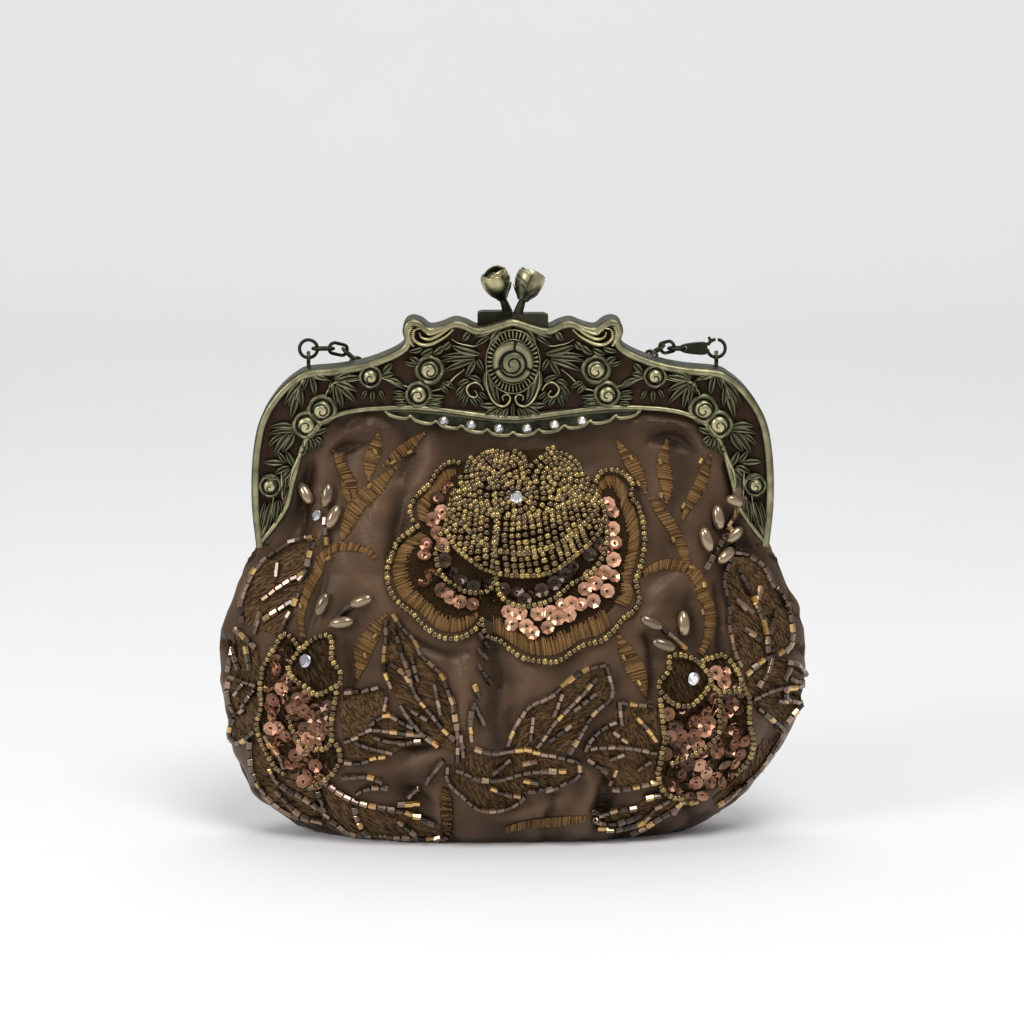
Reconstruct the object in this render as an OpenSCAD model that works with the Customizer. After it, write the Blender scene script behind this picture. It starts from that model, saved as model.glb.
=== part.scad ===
// Evening clutch: a soft satin pouch hung in a hinged openwork metal frame,
// closed by two rosebud knobs and carried on a short chain.
// The front faces -Y, the origin is under the middle of the flat base.

/* [Frame] */
// Width across the two legs of the frame
frame_w = 180; // [150:1:200]
// Height of the crest above the hinge pins
crest_rise = 82.3; // [72:0.1:92]
// Depth of each half of the frame
half_depth = 7.5; // [6.5:0.1:9]
// Gap between the two halves when shut
split_gap = 0.3; // [0.2:0.05:0.6]
// Thickness of the side wall of each half
rim_wall = 1.2; // [0.9:0.1:1.6]
// Thickness of the face of each half
face_wall = 1.2; // [0.9:0.1:1.6]
// Width of the smooth band round the outside
rim_band = 2.8; // [2:0.1:4]
// Width of the lower rail and the inner edge of the legs
rail_band = 2; // [1.5:0.1:3]
// Height of the raised bead on the bands
bead_rise = 0.8; // [0.4:0.1:1.2]
// Width of the raised bead on the bands
bead_w = 1.2; // [0.8:0.1:1.6]

/* [Ornament] */
// Radius of the large rose in the middle of the crest
rose_r = 6.9; // [5:0.1:8]
// How far the roses stand out of the face
rose_rise = 2; // [1:0.1:3]
// Width of the vine stems
vine_w = 1.5; // [1:0.1:2.5]
// Height of the leaves above the face
leaf_rise = 0.5; // [0.2:0.1:0.9]
// Width of the ribbed ring round the large rose
halo_w = 2.4; // [1.5:0.1:3]

/* [Apron] */
// Width of the scalloped apron under the lower rail
apron_w = 88; // [70:1:96]
// Number of scallops along the apron
scallop_count = 10; // [6:2:14]
// Depth of one scallop
scallop_drop = 1.6; // [0.8:0.1:2.2]
// How far the apron hangs below the rail in the middle
apron_drop = 4.1; // [3:0.1:6]
// Diameter of the set stones
stone_d = 2.4; // [1.6:0.1:3]
// How far a stone stands out
stone_rise = 0.9; // [0.5:0.1:1.4]

/* [Hinge] */
// Height of the hinge pins above the table
hinge_z = 99; // [90:1:115]
// Distance between the middles of the two hinges
hinge_span = 168; // [140:1:170]
// Radius of the round hinge ears
ear_r = 3; // [2.5:0.1:3.2]
// Thickness of a hinge ear
ear_wall = 1.2; // [0.8:0.1:1.4]
// Radius of the hinge rivet
rivet_r = 1; // [0.7:0.05:1.3]
// Radius of the rivet's heads
rivet_head_r = 1.9; // [1.5:0.1:2.2]
// Thickness of a rivet head
rivet_head_h = 0.9; // [0.6:0.1:1.2]
// Room between a turning part and its pin
turn_gap = 0.05; // [0.03:0.01:0.08]
// Room between neighbouring loose parts
seat_gap = 0.3; // [0.2:0.05:0.4]
// Room between parts that are soldered or set together
solder_gap = 0.05; // [0.02:0.01:0.1]

/* [Knobs] */
// Largest radius of a rosebud knob
bud_r = 5.2; // [4:0.1:6]
// Height of a rosebud knob
bud_h = 11; // [8:0.1:13]
// Gap between the two knobs
bud_gap = 0.4; // [0.2:0.05:1]
// Height of the knobs' middles above the crest
bud_lift = 10.6; // [10:0.1:14]
// Radius of a knob's stem where it meets the bud
stem_r = 1.5; // [1:0.1:2]
// Width of the bar that carries a knob
arm_w = 10.4; // [6:0.1:12]
// Height of that bar above the crest
arm_h = 1.6; // [1.2:0.1:2.5]

/* [Pouch] */
// Widest width of the pouch
pouch_w = 204.6; // [180:0.2:230]
// Deepest depth of the pouch
pouch_d = 63; // [50:1:76]
// Height of the pouch's open top
pouch_h = 94.5; // [85:0.5:110.5]
// Thickness of the padded satin
satin_t = 1.3; // [1:0.1:2]
// Thickness of the satin panels held in the frame
panel_t = 0.7; // [0.5:0.1:1]
// Thickness of the lining cloth
lining_t = 0.6; // [0.4:0.1:1]
// Width of the slip pocket in the lining
pocket_w = 70; // [50:1:90]
// Height of the slip pocket
pocket_h = 32; // [20:1:38]

/* [Strap] */
// Length of a chain link
link_l = 8.6; // [7:0.1:10]
// Width of a chain link
link_w = 5; // [4.2:0.1:5.6]
// Wire thickness of the chain and rings
wire_d = 1.2; // [0.9:0.1:1.3]
// Radius of the jump rings, to the middle of the wire
ring_r = 3.1; // [2.9:0.1:3.5]
// Distance between the two strap eyes
eye_span = 141; // [120:1:145]
// Distance of the strap eyes behind the split of the frame
eye_y = 4; // [3:0.1:4.5]
// Radius of a strap eye
eye_r = 2.3; // [2:0.1:2.6]
// Radius of the hole in a strap eye
eye_hole_r = 1.15; // [0.9:0.05:1.3]
// Height of the stalk below each strap eye
eye_stalk = 0.8; // [0.4:0.1:1.5]
// Height of the lowest link above the table
strap_low = 22; // [12:1:40]
// Length of the swivel clasp's body
clasp_l = 9.5; // [8:0.1:12]
// Thickness of the swivel clasp's body
clasp_t = 2.6; // [2:0.1:3.2]

/* [Hidden] */

$fn = 48;
half_w = frame_w / 2;
half_gap = split_gap / 2;
face_in = half_depth - face_wall;
brass = [0.47, 0.44, 0.31];
dark_brass = [0.36, 0.34, 0.26];
satin = [0.36, 0.27, 0.22];
lining_brown = [0.42, 0.33, 0.27];
glass = [0.9, 0.9, 0.92];

// Outline of the frame's right half from the top of the crest down to the foot,
// as shares of half the width and of the crest's rise.
outer_shares = [[0, 1], [0.067, 0.979], [0.131, 0.962], [0.178, 0.984], [0.222, 0.993],
    [0.267, 0.974], [0.314, 0.964], [0.344, 0.988], [0.378, 1], [0.407, 0.987],
    [0.42, 0.948], [0.412, 0.903], [0.45, 0.866], [0.556, 0.82], [0.667, 0.796],
    [0.783, 0.784], [0.829, 0.761], [0.883, 0.713], [0.933, 0.644], [0.967, 0.571],
    [0.986, 0.486], [0.998, 0.365], [0.999, 0.207], [0.984, 0.038]];
// Edge of the window below the lower rail, from the middle out and down the leg.
window_shares = [[0, 0.57], [0.26, 0.604], [0.4, 0.616], [0.533, 0.611], [0.593, 0.604],
    [0.65, 0.591], [0.704, 0.566], [0.75, 0.529], [0.794, 0.456], [0.817, 0.365],
    [0.833, 0.304], [0.856, 0.207], [0.906, 0.122], [0.96, 0.049]];
// Roses beside the middle one: x, z and radius.
rose_shares = [[0.317, 0.787, 0.667], [0.36, 0.683, 0.61], [0.542, 0.758, 0.536],
    [0.728, 0.62, 0.68], [0.788, 0.555, 0.64], [0.928, 0.298, 0.52]];
// Vine that joins the roses: x and z.
vine_shares = [[0.09, 0.7], [0.16, 0.705], [0.25, 0.66], [0.36, 0.683], [0.45, 0.72],
    [0.542, 0.758], [0.64, 0.7], [0.728, 0.62], [0.788, 0.555], [0.85, 0.46],
    [0.895, 0.38], [0.928, 0.298], [0.94, 0.18], [0.962, 0.06]];
// Sprays of leaves: x, z, first angle, last angle, leaves, length and width.
spray_shares = [[0.145, 0.86, -80, 5, 5, 0.125, 0.027], [0.18, 0.925, -35, 20, 3, 0.09, 0.024],
    [0.32, 0.925, -25, 85, 5, 0.085, 0.026], [0.317, 0.787, 20, 130, 4, 0.1, 0.026],
    [0.153, 0.705, -65, 60, 5, 0.082, 0.021], [0.36, 0.683, 150, 215, 3, 0.095, 0.023],
    [0.36, 0.683, -30, 30, 3, 0.1, 0.023], [0.542, 0.758, 150, 205, 3, 0.105, 0.025],
    [0.542, 0.758, -25, 40, 3, 0.105, 0.025], [0.542, 0.758, 245, 290, 3, 0.09, 0.025],
    [0.72, 0.782, 190, 255, 4, 0.135, 0.028], [0.8, 0.76, -80, -45, 2, 0.145, 0.034],
    [0.817, 0.565, -45, 12, 4, 0.145, 0.028], [0.778, 0.52, -110, -60, 3, 0.07, 0.024],
    [0.845, 0.437, -15, 35, 3, 0.1, 0.026], [0.928, 0.298, 95, 150, 3, 0.1, 0.026],
    [0.928, 0.298, -125, -75, 3, 0.14, 0.026], [0.94, 0.17, -105, -78, 2, 0.12, 0.024]];
// Fan of leaves under the middle rose.
fan_share = 0.7;
fan_leaf_share = 0.07;
fan_leaf_w_share = 0.02;
rose_z_share = 0.821;
// Profile of a rose from its middle outwards: radius and height.
petal_shares = [[0, 0.88], [0.12, 1], [0.26, 0.94], [0.34, 0.66], [0.42, 0.9], [0.56, 0.82],
    [0.64, 0.48], [0.72, 0.64], [0.88, 0.52], [1, 0.22], [1, 0]];

// Smooth curve through points, with a set number of steps between them.
curve_steps = 3;
function bend(p, i, t) = (2 * p[i] + (p[i + 1] - p[i - 1]) * t
    + (2 * p[i - 1] - 5 * p[i] + 4 * p[i + 1] - p[i + 2]) * t * t
    + (3 * p[i] - p[i - 1] - 3 * p[i + 1] + p[i + 2]) * t * t * t) / 2;
function curve(p, steps) = let (n = len(p) - 1,
    q = concat([2 * p[0] - p[1]], p, [2 * p[n] - p[n - 1]]))
    concat([for (i = [1:n]) for (s = [0:steps - 1]) bend(q, i, s / steps)], [p[n]]);
function flip(p) = [for (i = [len(p) - 1:-1:0]) p[i]];
function tail(p) = [for (i = [1:len(p) - 1]) p[i]];
function both(p) = concat([for (q = flip(tail(p))) [-q[0], q[1]]], p);
function sized(p) = [for (q = p) [q[0] * half_w, q[1] * crest_rise]];
function unit(v) = v / norm(v);
// Points moved sideways from an open line, to the right of its direction.
function shifted(p, d) = [for (i = [0:len(p) - 1])
    let (a = p[max(i - 1, 0)], b = p[min(i + 1, len(p) - 1)], t = unit(b - a))
    p[i] + d * [t[1], -t[0]]];
function ribbon(p, a, b) = concat(shifted(p, a), flip(shifted(p, b)));
function mix(a, b, t) = a + (b - a) * t;
function ease(t) = let (c = min(max(t, 0), 1)) c * c * (3 - 2 * c);

outer_line = curve(sized(outer_shares), curve_steps);
window_line = curve(sized(window_shares), curve_steps);
outer_full = both(outer_line);
window_full = both(window_line);
foot_rise = outer_line[len(outer_line) - 1][1];
// The points of a line that each lie further out than all before them.
function rising(p) = [for (i = 0, far = -1; i < len(p);
    far = max(far, p[i][0]), i = i + 1) if (p[i][0] > far) p[i]];
// Height of the outline over a place along the width, and of the rail's lower edge.
function crest_at(x) = lookup(abs(x), rising(outer_line));
function rail_at(x) = lookup(abs(x), window_line);
// Half width of the window at a height above the hinge.
function window_at(z) = lookup(z, [for (p = flip(window_line)) [p[1], p[0]]]);

// Stands a flat shape upright between two distances in front of the split.
module upright(near, far) {
    translate([0, -near, hinge_z]) rotate([90, 0, 0]) linear_extrude(far - near) children();
}

// Lower edge of the apron: cusps on a shallow rise, and round scallops below them.
apron_rise_share = 0.17;
apron_bend = 1.3;
function apron_edge(x, inset) =
    let (u = abs(x) / (apron_w / 2), pitch = apron_w / scallop_count,
        s = (abs(x) % pitch) / pitch * 2 - 1,
        cusp = rail_at(0) - apron_drop + apron_rise_share * apron_w / 2 * pow(min(u, 1), apron_bend))
    min(cusp + inset - scallop_drop * sqrt(1 - s * s), rail_at(x) + inset);
apron_steps = 6;
apron_x = [for (i = [-scallop_count * apron_steps / 2:scallop_count * apron_steps / 2])
    i * apron_w / scallop_count / apron_steps];
module apron_shape(inset) {
    polygon(concat([for (x = apron_x) [x, apron_edge(x, inset)]],
        [for (x = flip(apron_x)) [x, rail_at(x) + rail_band / 2]]));
}
module apron_bead() {
    polygon(concat([for (x = apron_x) [x, apron_edge(x, 0)]],
        [for (x = flip(apron_x)) [x, apron_edge(x, bead_w * 3 / 4)]]));
}

// A rose's place: right, then left.
function rose_at(i) = [rose_shares[i][0] * half_w, rose_shares[i][1] * crest_rise];
module rose_discs(extra) {
    for (i = [0:len(rose_shares) - 1], side = [-1, 1])
        translate([side * rose_at(i)[0], rose_at(i)[1]])
            circle(r = rose_shares[i][2] * rose_r + extra);
}
module rose(r) {
    rotate_extrude() polygon(concat([[0, 0]], [for (p = petal_shares) [p[0] * r, p[1] * rose_rise]]));
}
leaf_steps = 5;
leaf_wide = 1.3;
function leaf_side(l, w, side) = [for (i = [0:leaf_steps]) let (t = i / leaf_steps)
    [l * t, side * w / 2 * sin(180 * pow(t, 0.75))]];
module leaf(l, w) {
    polygon(concat(leaf_side(l, w, -1), flip(tail([for (i = [0:leaf_steps - 1])
        leaf_side(l, w, 1)[i]]))));
}
module spray(s) {
    for (i = [0:s[4] - 1])
        translate([s[0] * half_w, s[1] * crest_rise])
            rotate(mix(s[2], s[3], i / max(s[4] - 1, 1)))
                leaf(s[5] * half_w, s[6] * half_w * leaf_wide);
}
module openwork_half() {
    polygon(ribbon(curve(sized(vine_shares), curve_steps), -vine_w / 2, vine_w / 2));
    for (s = spray_shares) spray(s);
}
halo_ribs = 32;
function halo_line(grow) = [for (i = [0:halo_ribs * 4 - 1]) let (a = 360 * i / halo_ribs / 4,
    r = rose_r + halo_w + grow + halo_w / 10 * cos(a * halo_ribs))
    [r * sin(a), rose_z_share * crest_rise + r * cos(a)]];
module foot_zone(extra) {
    for (side = [-1, 1]) translate([side * half_w - half_w / 4, 0]) square([half_w / 2, shoe_rise + extra]);
}
shoe_rise = foot_rise + ear_r * 2.6;
module openwork_shape() {
    difference() {
        intersection() {
            polygon(concat(outer_full, flip(window_full)));
            union() {
                openwork_half();
                mirror([1, 0]) openwork_half();
                rose_discs(0);
                polygon(halo_line(0));
                for (i = [0:6]) translate([0, fan_share * crest_rise]) rotate(-150 + i * 20)
                    leaf(fan_leaf_share * half_w, fan_leaf_w_share * half_w * leaf_wide);
            }
        }
        polygon(ribbon(outer_full, -solder_gap, rim_band + solder_gap));
        polygon(ribbon(window_full, -rail_band - solder_gap, solder_gap));
        foot_zone(solder_gap);
    }
}
module frame_half() {
    upright(half_gap, half_depth) polygon(ribbon(outer_full, 0, rim_wall));
    upright(face_in, half_depth) {
        polygon(ribbon(outer_full, 0, rim_band));
        polygon(ribbon(window_full, -rail_band, 0));
        apron_shape(0);
        intersection() {
            polygon(concat(outer_full, flip(window_full)));
            foot_zone(0);
        }
    }
    upright(half_depth, half_depth + bead_rise) difference() {
        union() {
            polygon(ribbon(outer_full, rim_band / 4, rim_band / 4 + bead_w));
            polygon(ribbon(window_full, -(rail_band + bead_w) / 2, -(rail_band - bead_w) / 2));
            apron_bead();
        }
        rose_discs(solder_gap);
    }
}
module openwork() {
    upright(face_in, half_depth + solder_gap) openwork_shape();
    translate([0, -half_depth - solder_gap, hinge_z]) rotate([90, 0, 0]) {
        for (i = [0:len(rose_shares) - 1], side = [-1, 1])
            translate([side * rose_at(i)[0], rose_at(i)[1]]) rose(rose_shares[i][2] * rose_r);
        translate([0, rose_z_share * crest_rise]) rose(rose_r);
        linear_extrude(leaf_rise) difference() {
            polygon(halo_line(-halo_w / 4));
            translate([0, rose_z_share * crest_rise]) circle(r = rose_r + halo_w / 6);
        }
    }
}

// Hinge ear: a round eye on a neck that runs up to the face of its half.
neck_top = shoe_rise - ear_r * 0.2;
module ear(x) {
    translate([x, 0, hinge_z]) rotate([90, 0, 90]) difference() {
        linear_extrude(ear_wall) {
            circle(r = ear_r);
            polygon([[-half_gap - rim_wall, 0], [-half_gap - rim_wall, neck_top],
                [-half_depth + face_wall / 2, neck_top],
                [-half_depth + face_wall / 2, foot_rise + face_wall],
                [-ear_r, 0]]);
        }
        translate([0, 0, -ear_wall / 2]) cylinder(r = rivet_r + turn_gap, h = ear_wall * 2);
    }
}
// The front ears stand outside the back ones.
ear_front_x = hinge_span / 2 + seat_gap / 2;
ear_back_x = hinge_span / 2 - seat_gap / 2 - ear_wall;
module ears(x) {
    ear(x);
    mirror([1, 0, 0]) ear(x);
}

eye_x = eye_span / 2;
eye_z = hinge_z + crest_at(eye_x) + eye_r + eye_stalk;
module strap_eye() {
    difference() {
        translate([eye_x - wire_d / 2, eye_y, eye_z]) rotate([90, 0, 90]) {
            cylinder(r = eye_r, h = wire_d);
            translate([-eye_r * 3 / 4, -eye_r - eye_stalk - rim_wall * 3 / 4, 0])
                cube([eye_r * 3 / 2, eye_r + eye_stalk + rim_wall * 3 / 4, wire_d]);
        }
        translate([eye_x - wire_d, eye_y, eye_z]) rotate([0, 90, 0])
            cylinder(r = eye_hole_r, h = wire_d * 2);
    }
}

module front_frame() color(brass) {
    frame_half();
    ears(ear_front_x);
}
module back_frame() color(dark_brass) {
    mirror([0, 1, 0]) {
        frame_half();
        ears(ear_back_x);
    }
    strap_eye();
    mirror([1, 0, 0]) strap_eye();
}
module front_openwork() color(brass) openwork();
module back_openwork() color(dark_brass) mirror([0, 1, 0]) openwork();

// Set stones, flat on the apron's face.
stone_shares = [0.11, 0.325, 0.54];
function stone_z(x) = (apron_edge(x, 0) + rail_at(x)) / 2 - scallop_drop / 8;
module stones() {
    for (s = stone_shares, side = [-1, 1]) let (x = s * apron_w / 2 * side)
        translate([x, -half_depth - solder_gap / 2, hinge_z + stone_z(x)]) rotate([90, 0, 0])
            rotate_extrude() polygon([[0, 0], [stone_d / 2, 0], [stone_d / 2, stone_rise / 3],
                [stone_d / 4, stone_rise], [0, stone_rise]]);
}
module front_stones() color(glass) stones();
module back_stones() color(glass) mirror([0, 1, 0]) stones();

rivet_l = 2 * ear_wall + seat_gap + 2 * turn_gap;
module rivet() {
    translate([ear_back_x - turn_gap - rivet_head_h, 0, hinge_z]) rotate([0, 90, 0]) rotate_extrude()
        polygon([[0, 0], [rivet_head_r * 0.6, 0], [rivet_head_r, rivet_head_h / 2],
            [rivet_head_r, rivet_head_h], [rivet_r, rivet_head_h], [rivet_r, rivet_head_h + rivet_l],
            [rivet_head_r, rivet_head_h + rivet_l], [rivet_head_r, rivet_head_h * 1.5 + rivet_l],
            [rivet_head_r * 0.6, rivet_head_h * 2 + rivet_l], [0, rivet_head_h * 2 + rivet_l]]);
}
module right_hinge_rivet() color(dark_brass) rivet();
module left_hinge_rivet() color(dark_brass) mirror([1, 0, 0]) rivet();

// Knobs: a bar on the crest, a leaning stem and a rosebud.
bud_lean = 20;
bud_x = bud_r + bud_gap / 2;
stem_base_x = bud_x - bud_lift * tan(bud_lean) * 0.96;
stem_l = bud_lift - arm_h - bud_h * 0.36;
arm_steps = 8;
arm_start = max(stem_base_x - stem_r * 1.4, 0);
function arm_x(i) = mix(arm_start, stem_base_x + arm_w, i / arm_steps);
arm_top = crest_rise + arm_h;
module knob_arm() {
    upright(half_gap * 2, half_depth - half_gap * 2) polygon(concat(
        [for (i = [0:arm_steps]) [arm_x(i), crest_at(arm_x(i)) + solder_gap]],
        [[arm_x(arm_steps), arm_top - arm_h / 3], [arm_x(arm_steps - 1), arm_top],
            [arm_x(0), arm_top]]));
    translate([stem_base_x, -half_depth / 2, hinge_z + arm_top - arm_h / 4])
        rotate([stem_tip, bud_lean, 0]) cylinder(r1 = stem_r * 1.15, r2 = stem_r * 0.8, h = stem_l);
}
// The stem also leans over the split, so that both knobs stand nearly in one line.
stem_tip = -atan(half_depth / 3 / bud_lift);
// Profile of the bud from its foot to its tip: radius and height.
bud_shares = [[0, 0], [0.28, 0], [0.42, 0.08], [0.78, 0.26], [0.97, 0.45], [1, 0.6], [0.94, 0.78],
    [0.8, 0.93], [0.62, 0.97], [0.5, 0.9], [0.36, 0.95], [0.18, 1], [0, 0.96]];
module bud() {
    translate([stem_base_x, -half_depth / 2, hinge_z + arm_top - arm_h / 4])
        rotate([stem_tip, bud_lean, 0]) translate([0, 0, stem_l + solder_gap]) rotate_extrude()
            polygon([for (p = bud_shares) [p[0] * bud_r, p[1] * bud_h]]);
}
module front_knob_arm() color(brass) knob_arm();
module back_knob_arm() color(dark_brass) mirror([1, 0, 0]) mirror([0, 1, 0]) knob_arm();
module front_rosebud_knob() color(brass) bud();
module back_rosebud_knob() color(dark_brass) mirror([1, 0, 0]) mirror([0, 1, 0]) bud();

// Solid through closed rings of points, each ring with the same count.
module loft(rings) {
    n = len(rings[0]);
    m = len(rings);
    last = (m - 1) * n;
    polyhedron(points = [for (r = rings) for (p = r) p],
        faces = concat(
            [for (j = [0:m - 2]) for (i = [0:n - 1]) let (k = (i + 1) % n)
                [j * n + i, (j + 1) * n + i, (j + 1) * n + k]],
            [for (j = [0:m - 2]) for (i = [0:n - 1]) let (k = (i + 1) % n)
                [j * n + i, (j + 1) * n + k, j * n + k]],
            [for (i = [0:n / 2 - 2]) [i, i + 1, n - 1 - i]],
            [for (i = [0:n / 2 - 2]) [i + 1, n - 2 - i, n - 1 - i]],
            [for (i = [0:n / 2 - 2]) [last + i, last + n - 1 - i, last + i + 1]],
            [for (i = [0:n / 2 - 2]) [last + i + 1, last + n - 1 - i, last + n - 2 - i]]));
}

// Half width and half depth of the pouch at shares of its height.
side_shares = [[0, 0.645], [0.036, 0.715], [0.075, 0.767], [0.113, 0.812], [0.151, 0.848],
    [0.227, 0.895], [0.303, 0.932], [0.38, 0.961], [0.455, 0.982], [0.6, 0.995], [0.69, 1],
    [0.76, 0.994], [0.83, 0.971], [0.9, 0.941], [1, 0.905]];
depth_shares = [[0, 0.6], [0.036, 0.73], [0.075, 0.82], [0.113, 0.87], [0.19, 0.93], [0.28, 0.975],
    [0.42, 1], [0.54, 1], [0.66, 0.97], [0.8, 0.89], [0.88, 0.83], [0.97, 0.76], [1, 0.73]];
side_bend = 2.4;
side_round = 0.7;
function side_w(h) = lookup(h, side_shares) * pouch_w / 2;
function side_d(h) = lookup(h, depth_shares) * pouch_d / 2;
function lens(t) = pow(max(1 - pow(min(abs(t), 1), side_bend), 0), side_round);
ring_steps = 40;
// One ring of the pouch at a share of its height, drawn in by a skin all round.
function pouch_ring(s, skin) = [for (i = [0:ring_steps - 1]) let (a = 360 * (i + 0.5) / ring_steps)
    [(side_w(s) - skin) * cos(a), (side_d(s) - skin) * lens(cos(a)) * sign(sin(a)),
        mix(skin, pouch_h, s)]];
function shell_rings(rows, skin, wall) = concat([for (s = rows) pouch_ring(s, skin)],
    [for (s = flip(rows)) pouch_ring(s, skin + wall)]);
pouch_rows = [for (s = side_shares) s[0]];
module pouch_body() color(satin) loft(shell_rings(pouch_rows, 0, satin_t));
lining_skin = satin_t + seat_gap;
lining_top_share = 0.985;
lining_rows = concat([for (s = pouch_rows) if (s < lining_top_share - 0.01) s], [lining_top_share]);
module pouch_lining() color(lining_brown) loft(shell_rings(lining_rows, lining_skin, lining_t));

// Slip pocket on the back of the lining.
pocket_base = pouch_h * 0.42;
pocket_steps = 10;
pocket_skin = lining_skin + lining_t + seat_gap;
function pocket_y(x, z) = let (s = (z - pocket_skin) / (pouch_h - pocket_skin))
    (side_d(s) - pocket_skin) * lens(x / (side_w(s) - pocket_skin));
function pocket_ring(x) = concat(
    [for (i = [0:4]) let (z = pocket_base + pocket_h * i / 4) [x, pocket_y(x, z), z]],
    [for (i = [4:-1:0]) let (z = pocket_base + pocket_h * i / 4) [x, pocket_y(x, z) - lining_t, z]]);
module lining_pocket() color(lining_brown) loft([for (i = [0:pocket_steps])
    pocket_ring(mix(-pocket_w / 2, pocket_w / 2, i / pocket_steps))]);

// Satin panels: behind the openwork they lie flat, in the window they swell out.
panel_cols = 28;
panel_rows = 12;
panel_edge = half_w * 0.955;
panel_foot_in = ear_back_x - rivet_head_h - 2 * seat_gap;
panel_fade = 14;
panel_y = face_in - seat_gap;
function panel_low(x) = mix(pouch_h + seat_gap, hinge_z + neck_top + seat_gap,
    ease((abs(x) - panel_foot_in + ear_r) / ear_r));
panel_line = rising(shifted(outer_line, rim_wall + seat_gap));
// The top edge stays below the rim between one column and the next.
function panel_reach(x) = half_w * 0.07 * sqrt(max(1 - pow(x / half_w, 2), 0));
function panel_top(x) = hinge_z + min([for (d = [-1, -0.5, 0, 0.5, 1])
    lookup(max(abs(x) + d * panel_reach(x), 0), panel_line)]);
function panel_bulge(x, z) = max(side_d(1) * lens(x / side_w(1)) - panel_y, 0)
    * (1 - ease((z - pouch_h) / (rail_at(0) + hinge_z - pouch_h - apron_drop)))
    * ease((window_at(z - hinge_z) - 2 * rail_band - abs(x)) / panel_fade);
function panel_ring(x) = concat(
    [for (i = [0:panel_rows]) let (z = mix(panel_low(x), panel_top(x), i / panel_rows))
        [x, panel_t - panel_y - panel_bulge(x, z), z]],
    [for (i = [panel_rows:-1:0]) let (z = mix(panel_low(x), panel_top(x), i / panel_rows))
        [x, -panel_y - panel_bulge(x, z), z]]);
module satin_panel() {
    loft([for (i = [0:panel_cols]) panel_ring(panel_edge * sin(90 * (2 * i / panel_cols - 1)))]);
}
module front_panel() color(satin) satin_panel();
module back_panel() color(satin) mirror([0, 1, 0]) satin_panel();

// Strap: rings in the eyes, a chain that hangs behind the pouch, and a swivel clasp.
wire_r = wire_d / 2;
ring_z = eye_z + ring_r;
module wire_ring(r) {
    rotate_extrude() translate([r, 0]) circle(r = wire_r, $fn = 24);
}
module left_jump_ring() color(dark_brass) translate([-eye_x, eye_y, ring_z])
    rotate([90, 0, 0]) wire_ring(ring_r);

link_gap = 0.42;
link_pitch = link_l - 2 * wire_d - link_gap;
link_bow = (link_w - wire_d) / 2;
link_side = link_l - wire_d - 2 * link_bow;
module chain_link() {
    for (side = [-1, 1]) {
        translate([side * link_side / 2, 0, 0]) rotate([0, 0, side * -90]) rotate_extrude(angle = 180)
            translate([link_bow, 0]) circle(r = wire_r, $fn = 16);
        translate([-link_side / 2, side * link_bow, 0]) rotate([0, 90, 0])
            cylinder(r = wire_r, h = link_side, $fn = 16);
    }
}
// The chain leaves its two rings towards the back, and its ends reach into them.
link_reach = (link_l - wire_d) / 2 - wire_d - link_gap;
start_turn = 20;
chain_start = [-eye_x + ring_r + link_reach * cos(start_turn), eye_y + link_reach * sin(start_turn), ring_z];
tail_ring_r = 2.8;
tail_ring_slip = 0.15;
tail_eye_in = wire_d * 1.3;
tail_x = eye_x - ring_r - clasp_l + tail_eye_in - tail_ring_r + tail_ring_slip;
end_turn = 50;
chain_end = [tail_x - (tail_ring_r + link_reach) * cos(end_turn),
    eye_y + (tail_ring_r + link_reach) * sin(end_turn), ring_z];
strap_back = pouch_d / 2 + link_w * 0.8;
// Route of the chain between its ends: shares of the half width, of the way from
// the eyes to the back of the pouch, and of the way from the lowest link up.
route_shares = [[-0.672, 0.102, 0.997], [-0.628, 0.21, 0.98], [-0.598, 0.305, 0.952],
    [-0.581, 0.378, 0.916], [-0.573, 0.429, 0.877], [-0.528, 0.651, 0.701],
    [-0.483, 0.841, 0.512], [-0.392, 0.968, 0.294], [-0.222, 1, 0.084], [0, 1, 0],
    [0.224, 1, 0.084], [0.4, 0.968, 0.294], [0.478, 0.841, 0.512], [0.511, 0.68, 0.701],
    [0.522, 0.603, 0.857], [0.522, 0.571, 0.897], [0.522, 0.508, 0.935], [0.534, 0.4, 0.967],
    [0.559, 0.26, 0.989]];
function route_point(s) = [s[0] * half_w, mix(eye_y, strap_back, s[1]), mix(strap_low, ring_z, s[2])];
route = curve(concat([chain_start], [for (s = route_shares) route_point(s)], [chain_end]), 8);
route_lengths = [for (i = 0, d = 0; i < len(route);
    i = i + 1, d = d + (i < len(route) ? norm(route[i] - route[i - 1]) : 0)) d];
route_l = route_lengths[len(route) - 1];
link_count = 2 * round((route_l / link_pitch - 1) / 2) + 1;
// Place at a distance along the chain.
function route_at(d) = [for (k = [0:2])
    lookup(d, [for (i = [0:len(route) - 1]) [route_lengths[i], route[i][k]]])];
// Turns a link so that its length follows the chain, with the chain's flat side to the back.
module along(way) {
    side = unit(cross([0, 1, 0], way));
    face = cross(way, side);
    multmatrix([[way[0], side[0], face[0]], [way[1], side[1], face[1]], [way[2], side[2], face[2]]])
        children();
}
// Each link lies between its two joints, a half turn of the wire on from the last.
module strap_chain() color(dark_brass) for (i = [0:link_count]) {
    from = route_at(max(i - 0.5, 0) * route_l / link_count);
    to = route_at(min(i + 0.5, link_count) * route_l / link_count);
    translate(route_at(i * route_l / link_count)) along(unit(to - from))
        rotate([i % 2 * 90 + 90, 0, 0]) chain_link();
}

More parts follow.
